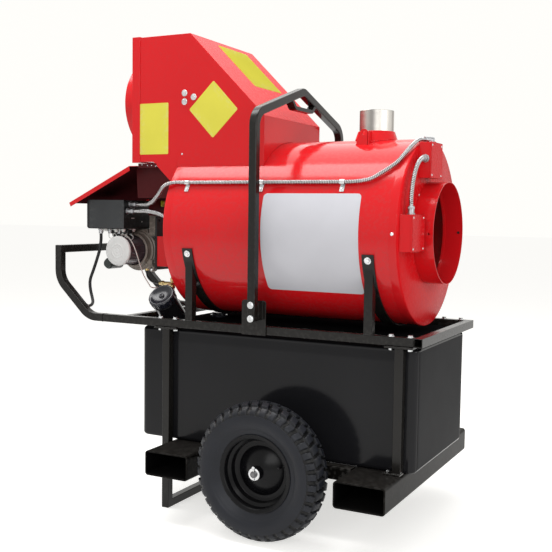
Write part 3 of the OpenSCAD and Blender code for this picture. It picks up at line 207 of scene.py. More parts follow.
def smooth_path(points, step):
    """Evenly spaced points on a smooth curve, and its length. Between two points it is the cubic whose slope at each
    is half the step from the point before to the point after, as in the part's source."""
    p = np.asarray(points, float)
    i = np.arange(len(p) - 1)
    a, b, c, d = (p[k][:, None] for k in (np.maximum(i - 1, 0), i, i + 1, np.minimum(i + 2, len(p) - 1)))
    t = np.linspace(0, 1, 12, endpoint=False)[None, :, None]
    fine = b + t / 2 * ((c - a) + t * ((2 * a - 5 * b + 4 * c - d) + t * (3 * (b - c) + d - a)))
    fine = np.concatenate([fine.reshape(-1, 3), p[-1:]])
    along = np.concatenate([[0], np.cumsum(np.linalg.norm(np.diff(fine, axis=0), axis=1))])
    at = np.linspace(0, along[-1], max(4, round(along[-1] / step)) + 1)
    return np.stack([np.interp(at, along, fine[:, k]) for k in range(3)], 1), along[-1]


def rounded_rows(size, corner, steps, across, between=0):
    """Rows across a rounded rectangle: each row's half width follows the corner's circle."""
    arc = np.linspace(0, np.pi / 2, steps)
    edge = size[1] / 2 - corner + corner * np.sin(arc)
    inset = corner - corner * np.cos(arc)
    v = np.concatenate([-edge[::-1], np.linspace(-edge[0], edge[0], between + 2)[1:-1], edge])
    w = size[0] / 2 - np.concatenate([inset[::-1], np.zeros(between), inset])
    u = np.linspace(-1, 1, across)
    return np.stack([w[:, None] * u[None], np.broadcast_to(v[:, None], (len(v), across))], -1)


def domed_screw(form, at, out, r):
    """A screw head: a dome whose radius falls with its height, over a short skirt."""
    rise = np.linspace(0, np.pi / 2, 7)
    dome = [(0.0, r * 1.15), (0.5, r * 1.15), (0.6, r)]
    dome += [(0.6 + 0.45 * r * math.sin(a), r * math.cos(a)) for a in rise[1:]]
    form.lathe([(-0.4, 0.0), (-0.4, r * 1.15)] + dome, at, out, 24)


def screws(name, rows):
    """Zinc screw heads as one piece; a row gives a place, the way out and the head's radius."""
    form = Form()
    for row in rows:
        domed_screw(form, *row)
    form.make(name, "Zinc plate", "zinc", smooth=50)


def plates(name, finish_name, slot, rows, across=ALONG_X, **more):
    """Upright plates as one piece; a row gives a centre, the sizes, the corners' radius and the thickness."""
    form = Form()
    for centre, size, corner, thickness in rows:
        form.plate(centre, across, UPRIGHT, size, corner, thickness)
    form.make(name, finish_name, slot, **more)


# Copies of CAD nodes


def rounded_copy(cad_name, suffix, finish_name, width, body="frame", slot=None):
    """Copy of a CAD node with its triangles merged and, when a width is given, its flat faces joined and its edges
    rounded.
    """
    name = f"{cad_name}_{suffix}"
    work = bmesh.new()
    work.from_mesh(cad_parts[cad_name].data)
    bmesh.ops.remove_doubles(work, verts=work.verts, dist=2e-5)
    if width > 0:
        bmesh.ops.dissolve_limit(work, angle_limit=math.radians(0.4), verts=work.verts, edges=work.edges)
    mesh = bpy.data.meshes.new(name)
    work.to_mesh(mesh)
    work.free()
    if "custom_normal" in mesh.attributes:
        mesh.attributes.remove(mesh.attributes["custom_normal"])
    mesh.shade_smooth()
    piece = settle(mesh, name, finish_name, body, [cad_name])
    if width > 0:
        bevel = piece.modifiers.new("Edge", "BEVEL")
        bevel.width = width
        bevel.segments = 2
        bevel.limit_method = "ANGLE"
        bevel.angle_limit = math.radians(38)
        bevel.use_clamp_overlap = False
        weighted = piece.modifiers.new("Flat faces", "WEIGHTED_NORMAL")
        weighted.weight = 90
        weighted.keep_sharp = True
    else:
        mesh.set_sharp_from_angle(angle=math.radians(35))
    return piece


def dress(suffix, rows):
    """Rounded copies of CAD nodes; a row gives the node, its finish, its edges' radius in metres and perhaps a body."""
    return {row[0]: rounded_copy(row[0], suffix, *row[1:]) for row in rows}


def repaint(piece, finish_name, rule):
    """Gives the faces that a rule picks, from their centres in millimetres and normals, another finish."""
    mesh = piece.data
    count = len(mesh.polygons)
    centres, normals, index = np.empty(count * 3), np.empty(count * 3), np.empty(count, int)
    mesh.polygons.foreach_get("center", centres)
    mesh.polygons.foreach_get("normal", normals)
    mesh.polygons.foreach_get("material_index", index)
    mesh.materials.append(bpy.data.materials[finish_name])
    picked = rule(centres.reshape(-1, 3) / MM, normals.reshape(-1, 3))
    mesh.polygons.foreach_set("material_index", np.where(picked, len(mesh.materials) - 1, index))


def on_slope(centres, normals):
    """Picks the faces of the housing's sloping front."""
    return (normals[:, 0] > 0.5) & (normals[:, 2] > 0.2)


# Shader groups


def new_group(name, inputs, outputs):
    """An empty shader group with named sockets, and its ends."""
    tree = bpy.data.node_groups.new(name, "ShaderNodeTree")
    for label, kind, default in inputs:
        tree.interface.new_socket(label, in_out="INPUT", socket_type="NodeSocket" + kind).default_value = default
    for label, kind in outputs:
        tree.interface.new_socket(label, in_out="OUTPUT", socket_type="NodeSocket" + kind)
    return tree, tree.nodes.new("NodeGroupInput").outputs, tree.nodes.new("NodeGroupOutput").inputs


def node(tree, kind, links=(), **values):
    """Adds a node, sets its properties and inputs, and links what feeds it."""
    made = tree.nodes.new(kind)
    for key, value in values.items():
        if hasattr(made, key):
            setattr(made, key, value)
        else:
            made.inputs[key].default_value = value
    for target, source in links:
        tree.links.new(source, made.inputs[target])
    return made


def feed(tree, socket, source):
    """Links a socket to its source, or sets the socket's own value."""
    if isinstance(source, bpy.types.NodeSocket):
        tree.links.new(source, socket)
    else:
        socket.default_value = source


def maths(tree, operation, *operands, clamp=False):
    """One step of arithmetic on numbers or sockets."""
    made = node(tree, "ShaderNodeMath", operation=operation, use_clamp=clamp)
    for socket, operand in zip(made.inputs, operands):
        feed(tree, socket, operand)
    return made.outputs[0]


def ranged(tree, source, low, high, to_low=0.0, to_high=1.0):
    """A value stretched from one range to another and held within it."""
    made = node(tree, "ShaderNodeMapRange", [("Value", source)])
    for label, value in (("From Min", low), ("From Max", high), ("To Min", to_low), ("To Max", to_high)):
        made.inputs[label].default_value = value
    return made.outputs[0]


def blended(tree, factor, first, second):
    """Two colours mixed by a factor."""
    made = node(tree, "ShaderNodeMix", [("Factor", factor)], data_type="RGBA")
    feed(tree, made.inputs[6], first)
    feed(tree, made.inputs[7], second)
    return made.outputs[2]


def noise(tree, at, scale, detail, roughness=0.5):
    """The value of a noise texture at a point."""
    made = node(tree, "ShaderNodeTexNoise", [("Vector", at)], Detail=detail, Roughness=roughness)
    feed(tree, made.inputs["Scale"], scale)
    return made.outputs["Fac"]


def group_mottle():
    """Slow change of a colour over the surface: noise lifts and lowers its value."""
    tree, given, out = new_group(
        "Mottled colour", [("Color", "Color", (1, 1, 1, 1)), ("Scale", "Float", 6.0), ("Amount", "Float", 0.1)],
        [("Color", "Color")])
    at = node(tree, "ShaderNodeTexCoord").outputs["Object"]
    swing = ranged(tree, noise(tree, at, given["Scale"], 5.0), 0.3, 0.7, -1.0, 1.0)
    value = maths(tree, "ADD", maths(tree, "MULTIPLY", swing, given["Amount"]), 1.0)
    tint = node(tree, "ShaderNodeHueSaturation", [("Color", given["Color"]), ("Value", value)])
    tree.links.new(tint.outputs[0], out["Color"])


def group_wear_and_edge_shade():
    """Edge wear, edge shade and dust: rounded edges show the edge colour, worn paint or metal on most finishes
    and painted shade on the zinc, and dust lies on what faces up.
    """
    tree, given, out = new_group(
        "Edge wear, edge shade and dust", [("Color", "Color", (1, 1, 1, 1)), ("Worn", "Color", (0.3, 0.3, 0.3, 1)),
                               ("Wear", "Float", 0.4), ("Dust", "Float", 0.15)],
        [("Color", "Color"), ("Mask", "Float")])
    dust_colour = (0.34, 0.31, 0.28, 1)
    at = node(tree, "ShaderNodeTexCoord").outputs["Object"]
    form = node(tree, "ShaderNodeNewGeometry")
    edge = ranged(tree, form.outputs["Pointiness"], 0.53, 0.62)
    chip = ranged(tree, noise(tree, at, 90.0, 4.0), 0.48, 0.62)
    wear_and_shade = maths(tree, "MULTIPLY", maths(tree, "MULTIPLY", edge, chip), given["Wear"])
    up = node(tree, "ShaderNodeSeparateXYZ", [(0, form.outputs["Normal"])])
    lies = ranged(tree, up.outputs["Z"], 0.45, 1.0)
    dust = maths(tree, "MULTIPLY", lies, noise(tree, at, 22.0, 6.0, 0.65))
    dust = maths(tree, "MULTIPLY", dust, given["Dust"])
    first = blended(tree, wear_and_shade, given["Color"], given["Worn"])
    tree.links.new(blended(tree, dust, first, dust_colour), out["Color"])
    tree.links.new(maths(tree, "MAXIMUM", wear_and_shade, dust), out["Mask"])


def group_grain():
    """Fine surface relief: two noises of different size, as a height and a roughness change."""
    tree, given, out = new_group(
        "Surface grain", [("Scale", "Float", 300.0), ("Stretch", "Vector", (1, 1, 1)), ("Roughness", "Float", 0.4),
                          ("Spread", "Float", 0.1)],
        [("Height", "Float"), ("Roughness", "Float")])
    at = node(tree, "ShaderNodeTexCoord").outputs["Object"]
    at = node(tree, "ShaderNodeVectorMath", [(0, at), (1, given["Stretch"])], operation="MULTIPLY").outputs[0]
    fine = noise(tree, at, given["Scale"], 3.0)
    slow = noise(tree, at, maths(tree, "MULTIPLY", given["Scale"], 0.07), 4.0)
    swing = maths(tree, "SUBTRACT", slow, 0.5)
    rough = maths(tree, "MULTIPLY_ADD", swing, given["Spread"], given["Roughness"], clamp=True)
    tree.links.new(maths(tree, "ADD", fine, slow), out["Height"])
    tree.links.new(rough, out["Roughness"])


# Finishes

# The worn colours and wear that several finishes share
CHALKY = (0.36, 0.06, 0.06), (0.2, 0.02)
SCUFFED = (0.03, 0.03, 0.032), (0.3, 0.02)

# Each row: name; colour, or a colour of the settings and a factor; roughness; metallic; specular level; mottle's scale
# and amount; edge colour, worn paint or metal except on the zinc, where it is painted shade; edge amount and dust;
# grain's scale and roughness spread; bump's strength and height in millimetres
FINISHES = [
    ("Red paint", ("red", 1), 0.14, 0, 0.24, (2.2, 0.04), *CHALKY, (420, 0.08), (0.05, 0.3)),
    ("Drum paint", ("red", 1), 0.12, 0, 0.27, (2.2, 0.04), *CHALKY, (420, 0.06), (0.03, 0.3)),
    ("Red end paint", ("red", 1), 0.26, 0, 0.035, (2.2, 0.04), *CHALKY, (420, 0.08), (0.05, 0.3)),
    ("Red in shade", (0.066, 0.007, 0.0085), 0.40, 0, 0.12, (6, 0.25), (0.12, 0.02, 0.02), (0.4, 0.03), (420, 0.10),
     (0.10, 0.4)),
    # The hood's underside: painted shade.
    ("Hood underside in painted shade", (0.034, 0.006, 0.0075), 0.75, 0, 0, (6, 0.2), (0.02, 0.02, 0.02), (0.3, 0.03), (420, 0.10),
     (0.10, 0.4)),
    ("Frame powder coat", ("black", 1), 0.20, 0, 0.24, (9, 0.10), (0.075, 0.07, 0.065), (0.4, 0.03), (900, 0.06),
     (0.05, 0.3)),
    ("Pocket powder coat", ("black", 0.55), 0.30, 0, 0.04, (8, 0.2), (0.09, 0.085, 0.08), (0.9, 0.04), (900, 0.08),
     (0.08, 0.4)),
    # The inside of the fork pockets: painted shade.
    ("Pocket inside in painted shade", (0.0022, 0.0022, 0.0024), 0.70, 0, 0.03, (8, 0.2), (0.01, 0.01, 0.01), (0.5, 0.02), (900, 0.08),
     (0.10, 0.4)),
    ("Tank plastic", ("plastic", 1), 0.13, 0, 0.16, (4, 0.12), *SCUFFED, (260, 0.06), (0.035, 0.4)),
    # The tank's end faces, darker and bluer than its sides: painted shade.
    ("Tank end in painted shade", ("plastic", (0.42, 0.45, 0.52)), 0.30, 0, 0.012, (4, 0.15), *SCUFFED, (260, 0.06),
     (0.035, 0.4)),
    # The tank's top, half as bright as its sides: painted shade under the drum.
    ("Tank top in painted shade", ("plastic", 0.5), 0.60, 0, 0, (4, 0.15), *SCUFFED, (260, 0.06), (0.035, 0.4)),
    ("Cap plastic", (0.012, 0.013, 0.019), 0.20, 0, 0.40, (12, 0.1), (0.16, 0.16, 0.19), (0.8, 0.04), (600, 0.1),
     (0.12, 0.4)),
    ("Tyre rubber", (0.0098, 0.0110, 0.0155), 0.42, 0, 0.24, (14, 0.18), (0.045, 0.045, 0.047), (0.7, 0.05),
     (800, 0.12), (0.3, 0.6)),
    ("Rim paint", (0.0042, 0.0042, 0.0050), 0.24, 0, 0.14, (8, 0.12), (0.05, 0.05, 0.055), (0.5, 0.02), (300, 0.06),
     (0.05, 0.4)),
    # The zinc's dark edge colour is painted shade: dark lines along the edges of bolt heads, screws and clips.
    ("Zinc plate", (0.62, 0.63, 0.64), 0.24, 1, 0.5, (60, 0.16), (0.10, 0.10, 0.10), (0.9, 0.03), (700, 0.22),
     (0.3, 0.4)),
    ("Axle steel", (0.12, 0.12, 0.125), 0.34, 1, 0.5, (40, 0.2), (0.5, 0.5, 0.5), (0.6, 0.05), (700, 0.2), (0.3, 0.4)),
    ("Stack steel", (0.62, 0.60, 0.56), 0.40, 1, 0.5, (7, 0.16), (0.45, 0.4, 0.33), (0.3, 0.02), (60, 0.25),
     (0.10, 0.4)),
    ("Conduit metal", (0.42, 0.415, 0.42), 0.24, 1, 0.5, (30, 0.12), (0.75, 0.75, 0.75), (0.4, 0.02), (500, 0.12),
     (0.12, 0.4)),
    ("Cast fitting", (0.36, 0.365, 0.38), 0.36, 1, 0.5, (40, 0.22), (0.70, 0.70, 0.70), (0.6, 0.06), (800, 0.2),
     (0.5, 0.4)),
    ("Plated steel", (0.36, 0.37, 0.38), 0.36, 1, 0.5, (14, 0.15), (0.6, 0.6, 0.6), (0.4, 0.1), (500, 0.2), (0.3, 0.4)),
    ("Brass", (0.56, 0.43, 0.20), 0.26, 1, 0.5, (35, 0.22), (0.88, 0.74, 0.46), (0.6, 0.05), (700, 0.2), (0.3, 0.4)),
    ("Black rubber", (0.010, 0.010, 0.011), 0.42, 0, 0.3, (30, 0.15), (0.04, 0.04, 0.04), (0.2, 0.06), (1100, 0.1),
     (0.3, 0.4)),
    ("Beige lead", (0.52, 0.47, 0.44), 0.40, 0, 0.4, (40, 0.10), (0.5, 0.45, 0.4), (0.2, 0.04), (1100, 0.1),
     (0.2, 0.4)),
    ("White wire", (0.62, 0.62, 0.60), 0.38, 0, 0.4, (40, 0.06), (0.5, 0.5, 0.48), (0.2, 0.04), (1100, 0.1),
     (0.2, 0.4)),
    ("Box paint", (0.010, 0.0105, 0.0110), 0.36, 0, 0.24, (10, 0.15), (0.06, 0.06, 0.06), (0.4, 0.04), (900, 0.1),
     (0.3, 0.4)),
    ("Cover paint", (0.034, 0.0365, 0.039), 0.42, 0, 0.30, (12, 0.12), (0.10, 0.10, 0.10), (0.4, 0.03), (1000, 0.1),
     (0.35, 0.4)),
    ("Burner casting", (0.170, 0.142, 0.120), 0.38, 0, 0.45, (26, 0.3), (0.46, 0.41, 0.35), (0.8, 0.08), (500, 0.2),
     (0.5, 0.8)),
    ("Motor body", (0.075, 0.056, 0.066), 0.38, 0, 0.4, (22, 0.25), (0.20, 0.17, 0.17), (0.6, 0.06), (500, 0.2),
     (0.5, 0.8)),
    ("Capacitor shell", (0.030, 0.036, 0.034), 0.38, 0, 0.35, (16, 0.15), (0.10, 0.11, 0.10), (0.4, 0.05), (700, 0.1),
     (0.25, 0.4)),
    ("Motor grey", (0.10, 0.105, 0.11), 0.45, 0, 0.5, (16, 0.15), (0.3, 0.3, 0.3), (0.4, 0.1), (600, 0.12), (0.3, 0.4)),
    ("Pale cap", (0.70, 0.70, 0.69), 0.40, 0, 0.35, (20, 0.05), (0.5, 0.48, 0.44), (0.4, 0.04), (600, 0.1),
     (0.15, 0.4)),
    ("Heat steel", (0.17, 0.15, 0.14), 0.5, 0.8, 0.5, (9, 0.3), (0.3, 0.2, 0.14), (0.4, 0.1), (400, 0.2), (0.4, 0.4)),
    ("Yellow in glare", ("yellow", 0.62), 0.5, 0, 0, (6, 0.05), (0.6, 0.55, 0.4), (0.3, 0.03), (500, 0.08),
     (0.06, 0.4)),
    ("Yellow panel", ("yellow", 1), 0.36, 0, 0.3, (6, 0.05), (0.75, 0.72, 0.5), (0.3, 0.03), (500, 0.08), (0.06, 0.4)),
    ("White sheet", ("white", 1), 0.34, 0, 0.3, (5, 0.05), (0.5, 0.5, 0.5), (0.2, 0.03), (500, 0.08), (0.06, 0.4)),
    ("Earth terminal", (0.50, 0.58, 0.04), 0.40, 0, 0.5, (40, 0.1), (0.6, 0.6, 0.3), (0.3, 0.1), (700, 0.1),
     (0.2, 0.4)),
]

# What some finishes have besides: the colour of their painted shade, in the tyre's and conduit's grooves and in the
# flue stub's bands of painted darker reflection, and the stretched grain and sheen of rolled sheet
EXTRAS = {
    "Tyre rubber": {"groove": (0.0022, 0.0022, 0.0025)},
    "Stack steel": {"groove": (0.13, 0.12, 0.115), "stretch": (1, 1, 22), "anisotropic": 0.4},
    "Conduit metal": {"groove": (0.045, 0.042, 0.045)},
}


def finish(name, colour, rough, metallic, specular, mottle, wear_and_shade_colour, wear, grain, bump,
           groove=None, stretch=(1, 1, 1), anisotropic=0.0):
    """A finish from the shared groups: mottled colour, edge wear (painted edge shade on the zinc), dust, fine grain,
    and painted shade where the piece's Painted shade attribute says.
    """
    if isinstance(colour[0], str):
        colour = np.array(getattr(bpy.context.scene.heater_colours, colour[0])) * colour[1]
    material = bpy.data.materials.new(name)
    material.use_nodes = True
    tree = material.node_tree
    shader = tree.nodes["Principled BSDF"]
    shader.inputs["Metallic"].default_value = metallic
    shader.inputs["Specular IOR Level"].default_value = specular
    shader.inputs["Anisotropic"].default_value = anisotropic
    groups = bpy.data.node_groups
    mottled = node(tree, "ShaderNodeGroup", node_tree=groups["Mottled colour"],
                   Color=(*colour, 1), Scale=mottle[0], Amount=mottle[1])
    wear_and_shade = node(tree, "ShaderNodeGroup", [("Color", mottled.outputs["Color"])], node_tree=groups["Edge wear, edge shade and dust"],
                Worn=(*wear_and_shade_colour, 1), Wear=wear[0], Dust=wear[1])
    relief = node(tree, "ShaderNodeGroup", node_tree=groups["Surface grain"],
                  Scale=grain[0], Stretch=stretch, Roughness=rough, Spread=grain[1])
    rise = ranged(tree, wear_and_shade.outputs["Mask"], 0.0, 1.0, 0.0, 0.35)
    total = maths(tree, "ADD", relief.outputs["Roughness"], rise, clamp=True)
    raised = node(tree, "ShaderNodeBump", [("Height", relief.outputs["Height"])],
                  Strength=bump[0], Distance=bump[1] * MM)
    base = wear_and_shade.outputs["Color"]
    # Painted shade: the base colour darkens towards the given colour as far as the piece's Painted shade attribute
    # says.
    if groove:
        shade_amount = node(tree, "ShaderNodeAttribute", attribute_name="Painted shade")
        base = blended(tree, shade_amount.outputs["Fac"], base, (*groove, 1))
    tree.links.new(base, shader.inputs["Base Color"])
    tree.links.new(total, shader.inputs["Roughness"])
    tree.links.new(raised.outputs[0], shader.inputs["Normal"])


class HEATER_OT_finishes(bpy.types.Operator):
    """Make every finish of the heater"""
    bl_idname = "heater.finishes"
    bl_label = "Finishes"

    def execute(self, context):
        group_mottle()
        group_wear_and_edge_shade()
        group_grain()
        for row in FINISHES:
            finish(*row, **EXTRAS.get(row[0], {}))
        return {"FINISHED"}


# The camera, the lights and the floor

CAMERA_PLACE = (1.39285, -2.58749, 0.94489)
CAMERA_TURNS = (27.30, 4.02, 0.80)          # yaw, downward pitch and roll, in degrees
FOCAL_PIXELS, PICTURE_PIXELS, SENSOR = 889.47, 552, 36
LAMPS = [                                   # name, place, target, size in metres, watts
    ("Overhead box", (-0.55, 0.9, 3.3), (-0.45, 0.6, 0.6), (3.4, 4.2), 66),
    ("Strip box", (-0.9, -0.48, 3.1), (-0.9, -0.48, 0.0), (3.0, 0.8), 49),
    ("Front box", (1.2, -4.0, 2.2), (0, 0, 0.8), (2.4, 2.0), 48),
    ("Right box", (3.9, -1.2, 1.7), (0.3, 0, 0.7), (1.8, 2.4), 37),
]


class HEATER_OT_stage(bpy.types.Operator):
    """Set the camera of the photograph, the lights, the world and a plain pale floor"""
    bl_idname = "heater.stage"
    bl_label = "Stage"

    def execute(self, context):
        scene = context.scene
        scene.view_settings.view_transform = "Standard"
        self.camera(scene)
        self.world(scene)
        for lamp in LAMPS:
            self.lamp(scene, *lamp)
        self.floor(scene)
        return {"FINISHED"}

    def camera(self, scene):
        """The photograph's camera: its axes are the yawed and pitched view, rolled about the line of sight."""
        yaw, pitch, roll = (math.radians(a) for a in CAMERA_TURNS)
        ahead = Vector((-math.sin(yaw) * math.cos(pitch), math.cos(yaw) * math.cos(pitch), -math.sin(pitch)))
        level = Vector((math.cos(yaw), math.sin(yaw), 0))
        above = level.cross(ahead)
        right = level * math.cos(roll) + above * math.sin(roll)
        up = above * math.cos(roll) - level * math.sin(roll)
        lens = bpy.data.cameras.new("Camera")
        lens.sensor_width = SENSOR
        lens.lens = FOCAL_PIXELS * SENSOR / PICTURE_PIXELS
        lens.clip_end = 200
        camera = bpy.data.objects.new("Camera", lens)
        scene.collection.objects.link(camera)
        turn = Matrix((right, up, -ahead)).transposed()
        camera.matrix_world = Matrix.Translation(CAMERA_PLACE) @ turn.to_4x4()
        scene.camera = camera

    def world(self, scene):
        """The world lights softly, and shows white to the camera and in what is glossy or clear."""
        world = bpy.data.worlds.new("Studio")
        world.use_nodes = True
        scene.world = world
        tree = world.node_tree
        tree.nodes.clear()
        path = node(tree, "ShaderNodeLightPath").outputs
        seen = maths(tree, "MAXIMUM", path["Is Camera Ray"], path["Is Transmission Ray"])
        seen = maths(tree, "MAXIMUM", seen, path["Is Glossy Ray"])
        soft = node(tree, "ShaderNodeBackground", Strength=0.48, Color=(1, 0.995, 0.985, 1))
        plain = node(tree, "ShaderNodeBackground", Strength=1.0, Color=(1, 0.992, 0.96, 1))
        mixed = node(tree, "ShaderNodeMixShader", [(0, seen), (1, soft.outputs[0]), (2, plain.outputs[0])])
        node(tree, "ShaderNodeOutputWorld", [("Surface", mixed.outputs[0])])

    def lamp(self, scene, name, place, target, size, power):
        """A soft rectangular lamp aimed at a point."""
        data = bpy.data.lights.new(name, "AREA")
        data.shape = "RECTANGLE"
        data.size, data.size_y = size
        data.energy = power
        lamp = bpy.data.objects.new(name, data)
        scene.collection.objects.link(lamp)
        aim = Vector(target) - Vector(place)
        lamp.matrix_world = Matrix.Translation(place) @ aim.to_track_quat("-Z", "Y").to_matrix().to_4x4()

    def floor(self, scene):
        """A wide pale floor, white to the camera where no shadow falls."""
        far, z = 40.0, -0.0006
        mesh = bpy.data.meshes.new("Floor")
        mesh.from_pydata([(-far, -far, z), (far, -far, z), (far, far, z), (-far, far, z)], [], [(0, 1, 2, 3)])
        floor = bpy.data.objects.new("Floor", mesh)
        scene.collection.objects.link(floor)
        material = bpy.data.materials.new("Floor")
        material.use_nodes = True
        tree = material.node_tree
        tree.nodes.clear()
        path = node(tree, "ShaderNodeLightPath").outputs
        seen = maths(tree, "MAXIMUM", path["Is Camera Ray"], path["Is Glossy Ray"])
        pale = node(tree, "ShaderNodeBsdfDiffuse", Color=(0.72, 0.715, 0.70, 1))
        glow = node(tree, "ShaderNodeEmission", [("Strength", seen)], Color=(0.62, 0.615, 0.60, 1))
        both = node(tree, "ShaderNodeAddShader", [(0, pale.outputs[0]), (1, glow.outputs[0])])
        node(tree, "ShaderNodeOutputMaterial", [("Surface", both.outputs[0])])
        mesh.materials.append(material)


# Frame


class HEATER_OT_frame(bpy.types.Operator):
    """Round and finish the tube frame, its fork pockets, saddles, hoop and bolts"""
    bl_idname = "heater.frame"
    bl_label = "Frame"

    def execute(self, context):
        tube, coat, pocket = sizes().tube_edge, "Frame powder coat", "Pocket powder coat"
        coated = dress("coated", [
            ("side_rails", coat, tube), ("cross_rails", coat, tube), ("handle", coat, tube),
            ("left_saddle", coat, 0.0012), ("right_saddle", coat, 0.0012), ("hoop_feet", coat, 0.0012),
            ("lifting_hoop", coat, 0.0035), ("lifting_eye", coat, 0.0015), ("stand_frame", coat, 0.0016),
            ("right_posts", coat, 0.0014), ("left_fork_pocket", pocket, 0.0012),
            ("right_fork_pocket", pocket, 0.0012), ("lower_rails", pocket, 0.0014)])
        coated["cross_rails"].modifiers["Edge"].use_clamp_overlap = True
        for name in ("left_fork_pocket", "right_fork_pocket"):
            # The pockets' inward faces get a near-black colour: painted shade.
            repaint(coated[name], "Pocket inside in painted shade", self.inside_pocket)
        dress("plated", [("frame_bolts", "Zinc plate", 0.0005), ("axle", "Axle steel", 0.0006),
                         ("axle_fasteners", "Zinc plate", 0.0005)])
        self.welds()
        return {"FINISHED"}

    def inside_pocket(self, centres, normals):
        """Picks the faces that look in at a fork pocket's own middle."""
        across = (centres - (centres.min(0) + centres.max(0)) / 2) * (1, 0, 1)
        return (np.abs(normals[:, 1]) < 0.5) & ((across * normals).sum(1) < 0)

    def welds(self):
        """Weld beads at the tube joints: a round bead whose radius ripples along its line."""
        half = 12.7                                             # half of a tube's side
        under, cross_ends, cross_y = 576.6, (-195.0, 579.0), (239.2, 265.4)
        over, saddle_feet, saddle_y = 608.0, (-111.0, 485.0), (239.6, 265.2)
        lines = []
        for s in (-1, 1):
            for x in cross_ends:
                a, b = s * cross_y[0], s * cross_y[1]
                lines += [((x - half, a, under), (x - half, b, under)), ((x - half, b, under), (x + half, b, under)),
                          ((x + half, a, under), (x + half, b, under))]
            for x in saddle_feet:
                a, b = s * saddle_y[0], s * saddle_y[1]
                lines += [((x - half, b, over), (x + half, b, over)), ((x - half, a, over), (x - half, b, over)),
                          ((x + half, a, over), (x + half, b, over))]
        form = Form()
        for a, b in lines:
            a, b = np.array(a), np.array(b)
            count = max(6, int(np.linalg.norm(b - a) / 0.9))
            t = np.linspace(0, 1, count)[:, None]
            form.tube(a + (b - a) * t, 1.5 + 0.3 * np.sin(np.arange(count) * 2.1), 8)
        form.make("weld_beads", "Frame powder coat", "frame_black", smooth=60)


# Wheels

# Outline of a rim, as distance out from the wheel's middle and radius: the front down to the dome, the hub and the back
RIM_LIP = [(38, 101), (40, 108), (41.4, 112.8), (42, 114), (42, 112.6), (41, 109), (39.6, 103.6), (36, 100.6),
           (30, 99.5), (22, 99), (18, 94), (15, 90.6), (4, 89.6), (-1, 88), (-3.4, 83), (-3.6, 77)]
RIM_HUB = [(25, 18.2), (30, 17.2), (39.4, 17), (40, 15.6), (40, 9.6), (-40, 9.6), (-40, 17), (-10, 17.2), (-10, 70)]
RIM_BACK = [(-8, 86.6), (-15, 88.6), (-21.6, 99), (-37, 99.4), (-39.6, 103.6), (-41, 109), (-42, 112.6), (-42, 114),
            (-41.4, 112.8), (-40, 108), (-38, 101), (-20, 101), (-14, 92), (14, 92), (20, 101), (38, 101)]
VALVE_TURN = 71                             # degrees from the top
# Points of the valve stem: radius from the axle, distance out, and the stem's own radius
VALVE = [(88, 10, 4.5), (82, 12, 3.8), (78, 17, 3.2), (76, 24, 3.0), (75, 31, 2.4)]
TYRE_BEAD = np.array([(22.0, 101.3), (37.7, 101.3), (38.6, 108.0), (39.7, 114.4), (42.2, 117.6)])
TYRE_MIDDLE, TYRE_CROWN, TYRE_HALF, TYRE_LINER = 157.6, 45.6, 58.0, (49.0, 33.6)


